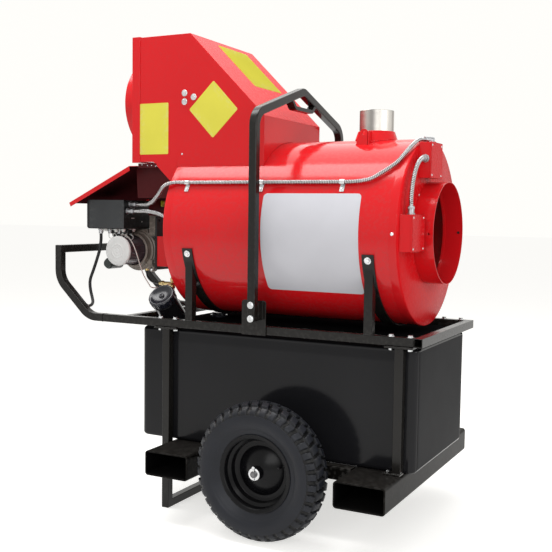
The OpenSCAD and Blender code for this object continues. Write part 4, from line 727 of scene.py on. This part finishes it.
class HEATER_OT_wheels(bpy.types.Operator):
    """Make the two pneumatic wheels with their moulded tread"""
    bl_idname = "heater.wheels"
    bl_label = "Wheels"

    def execute(self, context):
        for side, word in ((-1, "near"), (1, "far")):
            self.tyre(side, word)
            self.rim(side, word)
        return {"FINISHED"}

    def rim(self, side, word):
        """Rim: one closed outline of lip, well, domed disc and hub turned about the axle, with a valve stem."""
        dome = [(23.5 - 26.5 * (r / 72) ** 2, r) for r in np.linspace(73, 20, 14)]
        form = Form()
        form.lathe(RIM_LIP + dome + RIM_HUB + RIM_BACK, (AXLE_X, side * WHEEL_Y, AXLE_Z), (0, side, 0), 160)
        turn = math.radians(VALVE_TURN)
        path = [(AXLE_X + r * math.sin(turn), side * (WHEEL_Y + out), AXLE_Z + r * math.cos(turn))
                for r, out, _ in VALVE]
        form.tube(path, [thick for _, _, thick in VALVE], 14)
        form.make(f"{word}_rim_pressed", "Rim paint", "rim_black", f"{word}_wheel", [f"{word}_rim"],
                  smooth=34, merge=2e-5)

    def tyre(self, side, word):
        """Tyre: a cross-section carried round the axle, its tread raised where the lug pattern says. The section is
        an arc from bead to bead over the crown; across is 0 at its middle and 1 at the shoulder."""
        lugs = sizes().tread_lugs
        deep = sizes().tread_depth / MM
        around = np.linspace(0, 2 * np.pi, lugs * 13, endpoint=False)[:, None]
        rise = np.concatenate([np.linspace(-36, 12, 16), np.linspace(15, 165, 62), np.linspace(168, 216, 16)])
        rise = np.radians(rise)[None]
        pinch = 1.6 * np.exp(-((np.degrees(np.abs(np.pi / 2 - rise)) - 112) / 10) ** 2)
        y = (TYRE_HALF - pinch) * np.cos(rise)
        r = TYRE_MIDDLE + TYRE_CROWN * (np.sign(np.sin(rise)) * np.abs(np.sin(rise)) ** 0.86)
        across = (np.pi / 2 - rise) / np.radians(66)
        reach = np.abs(across)
        turn = around * lugs / (2 * np.pi)
        stagger = np.where(across > 0, 0.0, 0.5)
        shoulder = self.block(turn + stagger + 0.10 * reach, 0.62, 0.04) * self.span(reach, 0.58, 1.06, 0.03)
        inner = self.block(turn + stagger + 0.5 - 0.55 * reach, 0.70, 0.04) * self.span(reach, 0.07, 0.50, 0.025)
        height = np.clip(shoulder + inner, 0, 1)
        tread = self.span(reach, -1.0, 1.1, 0.05)
        r = r - deep * tread * (1 - height) * np.sin(rise).clip(0, 1) ** 0.5
        y = y * (1 - 0.028 * tread * (1 - height) * (reach > 0.5))
        bands = sum(np.exp(-((np.sin(rise) + at) / wide) ** 2) for at, wide in ((0.25, 0.035), (0.42, 0.03)))
        y = y + np.sign(np.cos(rise)) * (0.5 * bands)
        inside = np.radians(np.linspace(216, -36, 20))

        def ring(bead, section, sign, liner):
            """A whole section at every step round the axle: bead, section, the other bead and the liner."""
            rows = [np.broadcast_to(v, (len(around), len(v))) for v in (bead, sign * bead[::-1], liner)]
            return np.concatenate([rows[0], section, rows[1], rows[2]], 1)

        full_y = ring(TYRE_BEAD[:, 0], y, -1, TYRE_LINER[0] * np.cos(inside))
        full_r = ring(TYRE_BEAD[:, 1], r, 1, TYRE_MIDDLE + TYRE_LINER[1] * np.sin(inside))
        points = np.stack([AXLE_X + full_r * np.sin(around), side * (WHEEL_Y - full_y),
                           AXLE_Z + full_r * np.cos(around)], -1)
        # Painted shade in the tread's grooves, where no lug stands.
        groove = np.zeros(full_r.shape)
        groove[:, len(TYRE_BEAD):len(TYRE_BEAD) + r.shape[1]] = tread * (1 - height) * (np.sin(rise) > 0.2)
        form = Form()
        form.grid(points, wrap_u=True, wrap_v=True, groove=groove)
        self.hairs(form, side)
        form.make(f"{word}_tyre_moulded", "Tyre rubber", "tyre_rubber", f"{word}_wheel", [f"{word}_tyre"], smooth=42)

    def hairs(self, form, side):
        """Nine small moulding nibs round the side wall, at three radii."""
        out = side * (WHEEL_Y + 56.9)
        for k in range(9):
            turn = 0.35 + k * 2 * np.pi / 9
            r = 150.0 + 6 * (k % 3)
            x, z = AXLE_X + r * np.sin(turn), AXLE_Z + r * np.cos(turn)
            form.tube([(x, out - side * 1.5, z), (x, out + side * 0.2, z), (x + 0.4, out + side * 0.5, z)],
                      [0.8, 0.7, 0.4], 6)

    def block(self, turn, duty, edge):
        """One where a block is and nought in the groove, with a soft edge, once a turn."""
        return np.clip((duty / 2 - np.abs((turn % 1.0) - 0.5)) / edge + 0.5, 0, 1)

    def span(self, value, low, high, edge):
        """One between two limits and nought outside them, with soft edges."""
        return np.clip((value - low) / edge + 0.5, 0, 1) * np.clip((high - value) / edge + 0.5, 0, 1)


# Tank

CAP_SEAT = (-250.0, -118.0, 582.3)          # a point on the filler cap's axis
CAP_RIBS = 14
CAP_LOW = 112.6                             # where the cap's skirt starts on its axis
# Outline of the cap: distance along its axis, radius, and how much the ribs swell it
CAP_OUTLINE = [(CAP_LOW, 40.4, 0), (CAP_LOW, 42.6, 0), (113.4, 43.0, 1), (127, 43.2, 1), (129.4, 43.4, 1),
               (131.6, 43.6, 0.7), (133.2, 43.4, 0.2), (134.4, 42.2, 0), (135.2, 40.0, 0), (135.0, 37.0, 0),
               (132.0, 33.0, 0), (129.6, 26.0, 0), (128.4, 18.0, 0), (128.2, 10.0, 0), (129.6, 8.4, 0),
               (132.6, 7.6, 0), (133.2, 6.0, 0), (133.4, 3.6, 0), (131.0, 2.8, 0), (130.0, 0.0, 0)]


class HEATER_OT_tank(bpy.types.Operator):
    """Make the moulded fuel tank with its neck, cap and gauge"""
    bl_idname = "heater.tank"
    bl_label = "Fuel tank"

    def execute(self, context):
        self.body()
        dress("moulded", [("filler_neck", "Tank plastic", 0.0008)])
        self.cap()
        dress("moulded", [("fuel_gauge", "Cap plastic", 0.0008)])
        return {"FINISHED"}

    def body(self):
        """Tank: rounded rectangles stacked up a profile. Each side sinks by a parabola of its length, a fold runs
        round below the top, and the top is crowned by a half cosine."""
        middle_x, half_x, half_y, low, high, corner = 158.0, 466.0, 238.0, 218.5, 577.0, 22.0
        foot_r, top_r, crown_rise, fold_z, fold_depth = 12, 14, 14.0, 548, 1.8
        profile = [(foot_r - foot_r * math.sin(a), low + foot_r - foot_r * math.cos(a))
                   for a in np.linspace(0, np.pi / 2, 7)]
        profile += [(0.0, z) for z in np.linspace(low + 14, high - 14, 44)]
        profile += [(top_r - top_r * math.cos(a), high - top_r + top_r * math.sin(a))
                    for a in np.linspace(0.1, np.pi / 2, 8)]
        arc = np.linspace(0, np.pi / 2, 9)
        side_x, side_y = np.linspace(-1, 1, 48), np.linspace(-1, 1, 28)
        rings = []
        for inset, z in profile:
            a, b, r = half_x - inset, half_y - inset, corner - inset * 0.7
            tall = math.sin(math.pi * min(max((z - low) / (high - low), 0), 1)) ** 0.7
            fold = fold_depth / (1 + math.exp(-(z - fold_z) / 2.2))
            fold = fold * np.clip(1.4 * (1 - side_x ** 8), 0, 1) * (z < high - 12)
            sink_x = 1.2 * tall * (1 - side_x ** 2) + fold
            sink_y = 1.5 * tall * (1 - side_y ** 2)
            s, c = r * np.sin(arc), r * np.cos(arc)
            quarters = [(side_x * (a - r), -b + sink_x), (a - r + s, -(b - r) - c), (a - sink_y, side_y * (b - r)),
                        (a - r + c, b - r + s), (-side_x * (a - r), b - sink_x), (-(a - r) - s, b - r + c),
                        (-a + sink_y, -side_y * (b - r)), (-(a - r) - c, -(b - r) - s)]
            flat = np.concatenate([np.column_stack([u, v]) for u, v in quarters])
            rings.append(np.column_stack([flat[:, 0] + middle_x, flat[:, 1], np.full(len(flat), z)]))
        form = Form()
        form.grid(np.array(rings), wrap_v=True)
        steps = np.array([1.0, 0.985, 0.96, 0.93, 0.9, 0.6, 0.3, 0.0])[:, None, None]
        middle = rings[-1].mean(0)
        crown = middle + (rings[-1] - middle) * steps
        crown[..., 2] += crown_rise * (1 - np.cos(np.pi * np.clip((1 - steps[..., 0]) / 0.1, 0, 1))) / 2
        form.grid(crown, wrap_v=True)
        middle = rings[0].mean(0)
        form.grid(middle + (rings[0] - middle) * np.array([1.0, 0.5, 0.0])[:, None, None], wrap_v=True)
        tank = form.make("fuel_tank_moulded", "Tank plastic", "tank_plastic", replaces=["fuel_tank"], smooth=50)
        # The tank's end faces are darker and bluer than its sides: painted shade.
        repaint(tank, "Tank end in painted shade", lambda centres, normals: np.abs(normals[:, 0]) > 0.985)
        # The tank's top is half as bright as its sides: painted shade under the drum.
        repaint(tank, "Tank top in painted shade", lambda centres, normals: (normals[:, 2] > 0.4) & (centres[:, 2] > 500))

    def cap(self):
        """Filler cap: a skirt whose radius swells with a clipped cosine round it, under a dished face with a boss."""
        at, along, one = np.array(CAP_SEAT), np.array([0.0, -1.0, 1.0]) / math.sqrt(2), np.array([1.0, 0, 0])
        two = np.cross(along, one)
        turn = np.linspace(0, 2 * np.pi, CAP_RIBS * 16, endpoint=False)[None, :]
        rib = np.clip(np.cos(CAP_RIBS * turn) * 2.4, -1, 1) * 0.5 + 0.5
        up, r, share = (np.array(CAP_OUTLINE)[:, k][:, None] for k in range(3))
        r = r + share * 1.7 * rib
        ring = np.cos(turn)[..., None] * one + np.sin(turn)[..., None] * two
        points = at + up[..., None] * along + r[..., None] * ring
        foot = at + CAP_LOW * along
        form = Form()
        form.grid(points, wrap_v=True)
        closed = [points[0], foot + (points[0] - foot) * 0.5, np.broadcast_to(foot, points[0].shape)]
        form.grid(np.stack(closed), wrap_v=True)
        form.make("filler_cap_moulded", "Cap plastic", "cap_plastic", "filler_cap", ["filler_cap"], smooth=36)


# Drum and flue

LUG_HOLE = np.array([398.5, 1186.5])        # x and z of the lug's hole
LUG_EDGES = {"right": 11.0, "top": 12.5, "slant": 11.5, "foot": 40.5}      # the edges' distances from the hole
LUG_SIDES = (-106.0, -101.0)                # y of the lug's two faces
FLUE_X, FLUE_R, FLUE_WALL, FLUE_ENDS = 398.0, 52.5, 1.5, (1198.8, 1262.0)
# The stub's painted darker reflections: place round it in degrees, width and depth
FLUE_BANDS = ((186, 17, 0.85), (268, 8, 0.6), (118, 18, 0.8), (30, 30, 0.6))


class HEATER_OT_drum(bpy.types.Operator):
    """Finish the drum, its ends, collars, flue and what is inside"""
    bl_idname = "heater.drum"
    bl_label = "Drum and flue"

    def execute(self, context):
        dress("finished", [
            ("drum_shell", "Drum paint", 0), ("burner_end_plate", "Red paint", 0),
            ("outlet_end_plate", "Red end paint", 0), ("outlet_collar", "Red paint", 0),
            ("flue_base", "Red paint", sizes().sheet_edge),
            ("combustion_chamber", "Heat steel", 0), ("chamber_supports", "Heat steel", 0.0006),
            ("blast_tube", "Heat steel", 0.0005)])
        self.seams()
        self.lug()
        self.stack()
        self.screws()
        return {"FINISHED"}

    def seams(self):
        """Lapped bands of the two end plates, a sheet's thickness proud, and the outlet's rolled rim."""
        r = DRUM_R
        band = [(0, r - 0.6), (0, r + 0.15), (0.3, r + 0.25), (22.5, r + 0.25), (23.4, r - 0.6)]
        form = Form()
        for x in (DRUM_ENDS[1] - 29, DRUM_ENDS[0] + 7):
            form.lathe(band, (x, 0, DRUM_Z), ALONG_X, 192)
        turn = np.linspace(0, 2 * np.pi, 13)
        rim = np.column_stack([632.0 + 0.9 * np.cos(turn), 151.7 + 0.95 * np.sin(turn)])
        form.lathe(rim, (0, 0, DRUM_Z), ALONG_X, 192)
        form.make("drum_bands", "Red paint", "red_paint")

    def lug(self):
        """Lifting lug: a round-topped plate with a hole, its inner and outer outlines joined ring by ring."""
        turn = np.linspace(0, 2 * np.pi, 96, endpoint=False)
        reach = np.stack([np.cos(turn), np.sin(turn)], -1)
        right = LUG_EDGES["right"] / np.maximum(reach[:, 0], 1e-6)
        low = LUG_EDGES["foot"] / np.maximum(-reach[:, 1], 1e-6)
        slant = LUG_EDGES["slant"] / np.maximum(-reach[:, 0] * 0.93 + reach[:, 1] * 0.36, 1e-6)
        far = np.minimum(np.minimum(right, np.where(reach[:, 1] >= 0, LUG_EDGES["top"], low)), slant)
        hole, rim = LUG_HOLE + 6.5 * reach, LUG_HOLE + reach * far[:, None]

        def at(outline, y):
            return np.column_stack([outline[:, 0], np.full(len(outline), y), outline[:, 1]])

        form = Form()
        form.grid(np.stack([at(hole, LUG_SIDES[0]), at(rim, LUG_SIDES[0])]), wrap_v=True)
        form.grid(np.stack([at(rim, LUG_SIDES[1]), at(hole, LUG_SIDES[1])]), wrap_v=True)
        for outline in (hole, rim):
            form.grid(np.stack([at(outline, y) for y in LUG_SIDES]), wrap_v=True)
        form.plate((411.5, -92.0, 1168.0), ALONG_Y, UPRIGHT, (28, 50), 3, 3.0)
        form.make("lifting_lug", "Red paint", "red_paint", replaces=["lifting_tab"], smooth=36)

    def stack(self):
        """Flue stub: a thin tube turned about its axis, with painted darker reflections in bands that fall off
        as bell curves.
        """
        r, inner, (low, high), steps = FLUE_R, FLUE_R - FLUE_WALL, FLUE_ENDS, 128
        profile = [(low, inner), (low, r)] + [(z, r) for z in np.linspace(low + 8, high - 3, 12)]
        profile += [(high - 1, r), (high, r - 0.6), (high - 0.6, inner), (high - 12, inner), (low, inner)]
        turn = np.linspace(0, 360, steps, endpoint=False)
        # Painted reflection: darker bands round the stub.
        bands = sum(dark * np.exp(-((turn - at) / wide) ** 2) for at, wide, dark in FLUE_BANDS)
        form = Form()
        form.lathe(profile, (FLUE_X, 0, 0), UPRIGHT, steps, np.repeat(bands, len(profile)))
        form.make("flue_stack_rolled", "Stack steel", "stainless", replaces=["flue_stack"])

    def screws(self):
        """Domed sheet screws where the photograph shows them, and the outlet collar's black plug."""
        screws("sheet_screws", [((556, -DRUM_R - 0.3, DRUM_Z), (0, -1, 0), 4.2), ((574.0, -107, 1004), ALONG_X, 3.2),
                                ((-181, HOUSING_Y, 1129), (0, -1, 0), 2.6),
                                ((556, DRUM_R + 0.3, DRUM_Z), ALONG_Y, 4.2)])
        form = Form()
        form.lathe([(0, 0), (0, 4.2), (0.4, 4.2), (0.5, 3.4), (0.5, 0)], (619.6, 150.0, DRUM_Z), (0, -1, 0), 24)
        form.make("collar_plug", "Black rubber", "hose_rubber", smooth=50)


# Fan housing


class HEATER_OT_housing(bpy.types.Operator):
    """Finish the fan housing, its inlet, the fan and the burner hood"""
    bl_idname = "heater.housing"
    bl_label = "Fan housing"

    def execute(self, context):
        edge = sizes().sheet_edge
        pieces = dress("finished", [
            ("fan_housing", "Red paint", edge), ("inlet_panel", "Red paint", edge), ("inlet_collar", "Red paint", 0),
            ("inlet_guard", "Plated steel", 0.0005), ("fan_bracket", "Zinc plate", 0.0008),
            ("fan_motor", "Motor grey", 0.0012), ("fan_blades", "Motor grey", 0, "fan"),
            ("burner_hood", "Red paint", 0.0006, "frame", "red_paint")])
        repaint(pieces["fan_housing"], "Red end paint", on_slope)
        hood = pieces["burner_hood"]
        # The hood's underside gets a near-black red: painted shade.
        repaint(hood, "Hood underside in painted shade", lambda centres, normals: normals[:, 2] < -0.3)
        repaint(hood, "Red in shade",
                lambda centres, normals: (np.abs(normals[:, 1]) > 0.9) & (np.abs(centres[:, 1]) < 165))
        self.panels()
        self.skirt()
        self.rivets()
        return {"FINISHED"}

    def panels(self):
        """Plain yellow panels on the housing's side and slope, thin plates with rounded corners."""
        form = Form()
        form.plate((-289.5, HOUSING_Y, 1211.5), ALONG_X, UPRIGHT, (111, 163), 4, 0.35)
        side, other = np.array([89.0, 0, 86.0]), np.array([-85.0, 0, 93.0])     # the tilted panel's two edges
        form.plate((-67.0, HOUSING_Y, 1265.0), side, np.cross((0, -1.0, 0), side),
                   (np.linalg.norm(side), np.linalg.norm(other)), 5, 0.4)
        down = np.array([267.0, 0, -265.0])
        down /= np.linalg.norm(down)
        out = np.array([265.0, 0, 267.0])
        out /= np.linalg.norm(out)
        ridge = np.array([-153.0, 36.7, 1505.0])
        form.plate(ridge + 120 * down, down, np.cross(out, down), (198, 189), 5, 0.35)
        panels = form.make("yellow_panels", "Yellow panel", "red_paint")
        repaint(panels, "Yellow in glare", on_slope)

    def skirt(self):
        """Lips that close the housing's foot over the hood, and the plate between the hood and the burner flange."""
        plates("housing_lips", "Red in shade", "red_paint",
               [((-315.0, s * 199.5 + 1.0, 1093.9), (72, 14), 0.8, 1.6) for s in (-1, 1)], smooth=36)
        plates("burner_bulkhead", "Red in shade", "red_paint", [((-347.0, -78.0, 1012.0), (138, 160), 2, 2.0)],
               ALONG_Y, smooth=36)
        form = Form()
        form.plate((-345.0, -72.0, 973.0), ALONG_Y, UPRIGHT, (15, 20), 2, 7.0)
        form.lathe([(0, 0), (0, 4), (3, 4), (3.6, 3), (3.6, 0)], (-338.0, -72.0, 978.0), ALONG_X, 20)
        form.make("earth_terminal", "Earth terminal", "cap_plastic", smooth=36)

    def rivets(self):
        """Rivets along the hood's upper edge."""
        spots = ((-336, 1096.5), (-314, 1094.4), (-298, 1094.2), (-283, 1091.5))
        screws("hood_rivets", [((x, HOUSING_Y - 0.2, z), (0, -1, 0), 1.3) for x, z in spots])


class HEATER_OT_sheet(bpy.types.Operator):
    """Lay the plain white sheet round the drum"""
    bl_idname = "heater.sheet"
    bl_label = "White sheet"

    def execute(self, context):
        """Sheet: rows of a rounded rectangle bent round the drum, each row's height turned into an angle about the
        drum's axis, with ripples a tenth of a millimetre high."""
        width, middle_x, corner, film, ends = 310.0, 302, 12.0, 0.45, (717, 1004)
        low, high = (math.asin((z - DRUM_Z) / (DRUM_R + 0.4)) for z in ends)
        radius = DRUM_R + 0.5
        rows = rounded_rows((width, (high - low) * radius), corner, 8, 24, 38)
        angle = (low + high) / 2 + rows[..., 1] / radius
        x = middle_x + rows[..., 0]
        ripple = 0.10 * np.sin(x / 37.0) * np.sin(rows[..., 1] / 29.0)
        face, under = (np.stack([x, -(r + ripple) * np.cos(angle), DRUM_Z + (r + ripple) * np.sin(angle)], -1)
                       for r in (radius, radius - film))
        form = Form()
        form.grid(face)
        form.grid(under[:, ::-1])
        rims = [np.concatenate([g[:, 0], g[-1, 1:-1], g[::-1, -1], g[0, -2:0:-1]]) for g in (under, face)]
        form.grid(np.stack(rims), wrap_v=True)
        form.make("plain_sheet", "White sheet", "red_paint")
        return {"FINISHED"}


# Burner

NECK_BACK, CAP_BACK = -45.4, -160.6         # y where the casting's neck and the motor's cap start
# Outline of the neck: distance towards the viewer and radius
NECK = [(0, 72), (3, 72), (4.5, 70), (5, 67), (8, 66), (10, 66.4), (11.5, 64), (12, 60.5), (20, 58.5), (28, 57.5),
        (29, 58.6), (32, 58.6), (33.5, 57), (34, 54), (34.4, 52.1), (0, 52.1), (0, 72)]
CAP_RINGS = ((1, 22.5, 1.6), (-0.9, 9, 1.5), (0.5, 36, 1.4))     # height, radius and width of each spun ring
BOX_FLOOR, BOX_END = 885.2, -434.0          # z of the control box's underside, x of its end
# Stubs under the control box (x, y, radius, length) and wire loops (centre, radius, turns)
STUBS = ((-541, -148, 9, 12), (-520, -150, 10, 9), (-503, -146, 4, 8), (-478, -150, 9, 11),
         (-463, -150, 4, 7), (-448, -150, 8, 10), (-447, -124, 9, 11), (-446, -98, 8, 9))
LOOPS = ((-494, -158, 862, 7.5, 0.85), (-476, -158, 861, 6.5, 1.1), (-448, -150, 864, 5.5, 0.8),
         (-436, -146, 862, 4.5, 0.9), (-430, -130, 858, 8.0, 1.15))


class HEATER_OT_burner(bpy.types.Operator):
    """Finish the burner, its motor, pump and control box"""
    bl_idname = "heater.burner"
    bl_label = "Burner"

    def execute(self, context):
        dress("finished", [
            ("burner_casting", "Burner casting", 0.0018), ("blower_wheel", "Plated steel", 0, "blower"),
            ("burner_flange", "Box paint", 0.0012), ("burner_mount", "Red paint", 0.0008),
            ("burner_motor", "Motor body", 0.0010), ("capacitor", "Capacitor shell", 0.0012),
            ("fuel_pump", "Cast fitting", 0.0012), ("fuel_fittings", "Brass", 0.0006)])
        self.cap()
        self.neck()
        self.box()
        self.wires()
        return {"FINISHED"}

    def neck(self):
        """Stepped neck of the blower casting, turned about the motor's axis, with three ribs and a bolt."""
        form = Form()
        form.lathe(NECK, (MOTOR_X, NECK_BACK, MOTOR_Z), (0, -1, 0), 144)
        for degrees in (-50, -41, -32):
            c, s = math.cos(math.radians(degrees)), math.sin(math.radians(degrees))
            form.tube([(MOTOR_X + r * c, y, MOTOR_Z + r * s) for r, y in ((57, -62), (70, -50), (80, -46))], 2.2, 10)
        form.make("casting_neck", "Burner casting", "casting_brown", smooth=42)
        screws("casting_bolt", [((-396.0, -60.0, 746.2), (0, -1, 0), 4.2)])

    def box(self):
        """Control box and its lid with rounded corners, pale stubs and marks on it, and the motor's plug under it."""
        plates("control_box_body", "Box paint", "box_black", [((-512.5, -15.0, 934.0), (157, 98), 9, 150.0)],
               replaces=["control_box"], smooth=30)
        plates("control_box_lid", "Cover paint", "cover_grey", [((-506.5, -165.0, 935.0), (145, 95), 3, 2.3)],
               replaces=["control_cover"], smooth=30)
        form = Form()
        for x, y, r, tall in STUBS:
            stub = [(0, 0), (0, r), (tall * 0.45, r), (tall * 0.5, r * 0.7), (tall, r * 0.66), (tall, 0)]
            form.lathe(stub, (x, y, BOX_FLOOR), (0, 0, -1), 14)
        form.plate((BOX_END, -117.0, 922.0), ALONG_Y, UPRIGHT, (17, 3), 1.2, 0.5)
        form.plate((BOX_END, -65.0, 910.0), ALONG_Y, UPRIGHT, (5, 4), 1.2, 0.5)
        form.make("box_terminals", "White wire", "cap_grey")
        plates("motor_plug", "Black rubber", "hose_rubber", [((-468.0, -118.0, 871.0), (66, 27), 7, 24.0)], smooth=36)

    def wires(self):
        """Wire loops under the control box: part turns of a circle that drift sideways and down."""
        form = Form()
        t = np.linspace(0, 1, 40)
        for x, y, z, r, turns in LOOPS:
            a = 2 * np.pi * turns * t + 0.8
            path = np.stack([x + r * np.cos(a) + 7 * (t - 0.5), y - 4 * t, z + r * np.sin(a) + 5 * (0.5 - t)], -1)
            form.tube(path, 1.25, 8)
        form.make("box_wires", "White wire", "cap_grey", smooth=60)

    def cap(self):
        """Motor cap: a shallow dish turned about the motor's axis, with spun rings as bell curves on its face."""
        r = np.linspace(0, 44, 60)
        rings = sum(high * np.exp(-((r - at) / wide) ** 2) for high, at, wide in CAP_RINGS)
        face = np.column_stack([10.4 - 0.0009 * r ** 2 + rings, r])
        skirt = [(8.2, 47.0), (6.6, 49.2), (4.6, 50.2), (0.0, 50.4), (0.0, 47.0), (0.0, 0.0)]
        form = Form()
        form.lathe(np.concatenate([face, skirt]), (MOTOR_X, CAP_BACK, MOTOR_Z), (0, -1, 0), 96)
        form.make("motor_cap_spun", "Pale cap", "cap_grey", replaces=["motor_cap"], smooth=38)


# Electrics

# The routes repeat the points given in the part's source, in millimetres
MAIN_ROUTE = [(-406, -132, 968), (-385, -133, 968), (-345, -156, 969), (-310, -190, 973), (-281, -214, 979),
              (-248, -232, 1000), (-210, -254, 1027), (-176, -250, 1037), (-128, -249, 1037), (0, -249, 1037),
              (133, -249, 1037), (260, -249, 1037), (394, -249, 1037), (435, -249, 1038), (475, -245, 1045),
              (501, -235, 1060), (525, -221, 1078), (542, -205, 1095), (553, -181, 1118), (560, -158, 1136),
              (565, -134, 1151), (570, -113, 1161), (576, -101, 1164), (582, -93, 1164)]
DRUM_ROUTE = [(-406, -147, 946), (-388, -148, 946), (-350, -165, 947), (-311, -185, 945), (-270, -197, 938),
              (-240, -200, 928), (-224, -200, 925)]
LINK_ROUTE = [(595, -141, 1108), (595, -156, 1106), (594, -182, 1092), (593, -206, 1065), (593, -224, 1030),
              (594, -235, 995), (595, -237, 971)]
CABLE_ROUTE = [(-543, -150, 868.2), (-543, -150, 846), (-549, -150, 812), (-561, -151, 776), (-574, -152, 742),
               (-585, -155, 710), (-585, -157, 687), (-577, -162, 666), (-565, -170, 648), (-551, -184, 635),
               (-540, -206, 627), (-536, -235.7, 623.5)]
PUMP_ROUTE = [(-430, -38, 740), (-430, -38, 729), (-422, -42, 716), (-402, -50, 705), (-380, -57, 701),
              (-362, -60, 701)]
TANK_ROUTE = [(-308, -60, 680), (-308, -60, 668), (-303, -56, 650), (-290, -46, 638), (-274, -34, 629),
              (-266, -24, 618), (-264, -20, 602)]
LEAD_ROUTE = [(-474, -138, 866), (-468, -140, 864), (-455, -145, 866), (-436, -148, 862), (-415, -150, 845),
              (-401, -150, 822), (-391, -148, 795), (-383, -144, 765), (-372, -140, 733), (-353, -138, 705),
              (-339, -138, 692), (-322, -118, 692), (-311, -98, 697), (-308, -84, 701), (-308, -75, 701)]
# Each cord: piece, route, diameter, CAD node, lay and finish
CORDS = [("power_cable_hanging", CABLE_ROUTE, 10.5, "power_cable", "hanging", "Black rubber"),
         ("pump_hose", PUMP_ROUTE, 8.0, "fuel_lines", "loose", "Black rubber"),
         ("tank_hose", TANK_ROUTE, 8.0, "fuel_lines", "loose", "Black rubber"),
         ("sensor_lead", LEAD_ROUTE, 4.0, "fuel_lines", "hanging", "Beige lead")]


class HEATER_OT_electrics(bpy.types.Operator):
    """Make the ribbed conduits, cables, hoses, boxes and fittings"""
    bl_idname = "heater.electrics"
    bl_label = "Electrics"

    def execute(self, context):
        pieces = dress("finished", [("conduit_fittings", "Cast fitting", 0.0006),
                                    ("conduit_clips", "Zinc plate", 0.0003), ("junction_boxes", "Red paint", 0.0009)])
        repaint(pieces["junction_boxes"], "Red end paint", lambda centres, normals: normals[:, 0] > 0.5)
        self.conduit("conduit_main_ribbed", [MAIN_ROUTE], ["conduit_main"])
        self.conduit("short_conduits_ribbed", [DRUM_ROUTE, LINK_ROUTE], ["short_conduits"])
        self.cords()
        self.box_screws()
        return {"FINISHED"}

    def conduit(self, name, routes, replaces):
        """Flexible conduit: a tube whose radius rises in one helical rib, a clipped cosine that fades at the ends,
        with painted shade in the valleys between the ribs.
        """
        pitch, sides, core, rib, fade = sizes().rib_pitch / MM, 18, 5.6, 0.75, 6
        form = Form()
        for route in routes:
            path, total = smooth_path(route, pitch / 7)
            s = np.linspace(0, total, len(path))[:, None]
            turn = np.linspace(0, 1, sides, endpoint=False)[None]
            wave = np.cos(2 * np.pi * (s / pitch + turn))
            radius = core + rib * np.clip(wave * 1.5, -1, 1)
            ends = np.clip(np.minimum(s, total - s) / fade, 0, 1)
            # Painted shade in the valleys between the ribs.
            form.tube(path, core * (1 - ends) + radius * ends, sides, groove=np.clip(-wave * 1.3, 0, 1) * ends * 0.85)
        form.make(name, "Conduit metal", "conduit_metal", replaces=replaces, smooth=75)

    def cords(self):
        """The power cable, both hoses and the sensor lead, each a round tube along its route."""
        for name, route, wide, cad_name, lay, finish_name in CORDS:
            path, total = smooth_path(route, 3.0)
            form = Form()
            form.tube(path, wide / 2, 20)
            cord = form.make(name, finish_name, "hose_rubber", replaces=[cad_name], smooth=60)

    def box_screws(self):
        """Cover screws of the two square boxes, one at each corner."""
        screws("box_screws", [((611.6, y + a * 43, z + b * 43), ALONG_X, 3.0) for y, z in ((-68, 1104), (-219, 895.5))
                              for a, b in ((-1, 1), (1, -1), (1, 1), (-1, -1))])


# Panel and registration

STEPS = ("finishes", "stage", "electrics", "frame", "wheels", "tank", "drum", "housing", "sheet", "burner")


class HEATER_PT_panel(bpy.types.Panel):
    """Lists the steps that build the heater"""
    bl_label = "Heater"
    bl_idname = "HEATER_PT_panel"
    bl_space_type = "VIEW_3D"
    bl_region_type = "UI"
    bl_category = "Heater"

    def draw(self, context):
        for group in (context.scene.heater_colours, context.scene.heater_sizes):
            for key in group.__annotations__:
                self.layout.prop(group, key)
        for step in STEPS:
            self.layout.operator("heater." + step)


CLASSES = (HeaterColours, HeaterSizes, HEATER_OT_finishes, HEATER_OT_stage, HEATER_OT_frame, HEATER_OT_wheels,
           HEATER_OT_tank, HEATER_OT_drum, HEATER_OT_housing, HEATER_OT_sheet, HEATER_OT_burner, HEATER_OT_electrics,
           HEATER_PT_panel)


def register():
    for cls in CLASSES:
        bpy.utils.register_class(cls)
    bpy.types.Scene.heater_colours = bpy.props.PointerProperty(type=HeaterColours)
    bpy.types.Scene.heater_sizes = bpy.props.PointerProperty(type=HeaterSizes)


def unregister():
    del bpy.types.Scene.heater_sizes
    del bpy.types.Scene.heater_colours
    for cls in reversed(CLASSES):
        bpy.utils.unregister_class(cls)


def main():
    register()
    for step in STEPS:
        getattr(bpy.ops.heater, step)()


if __name__ == "__main__":
    main()
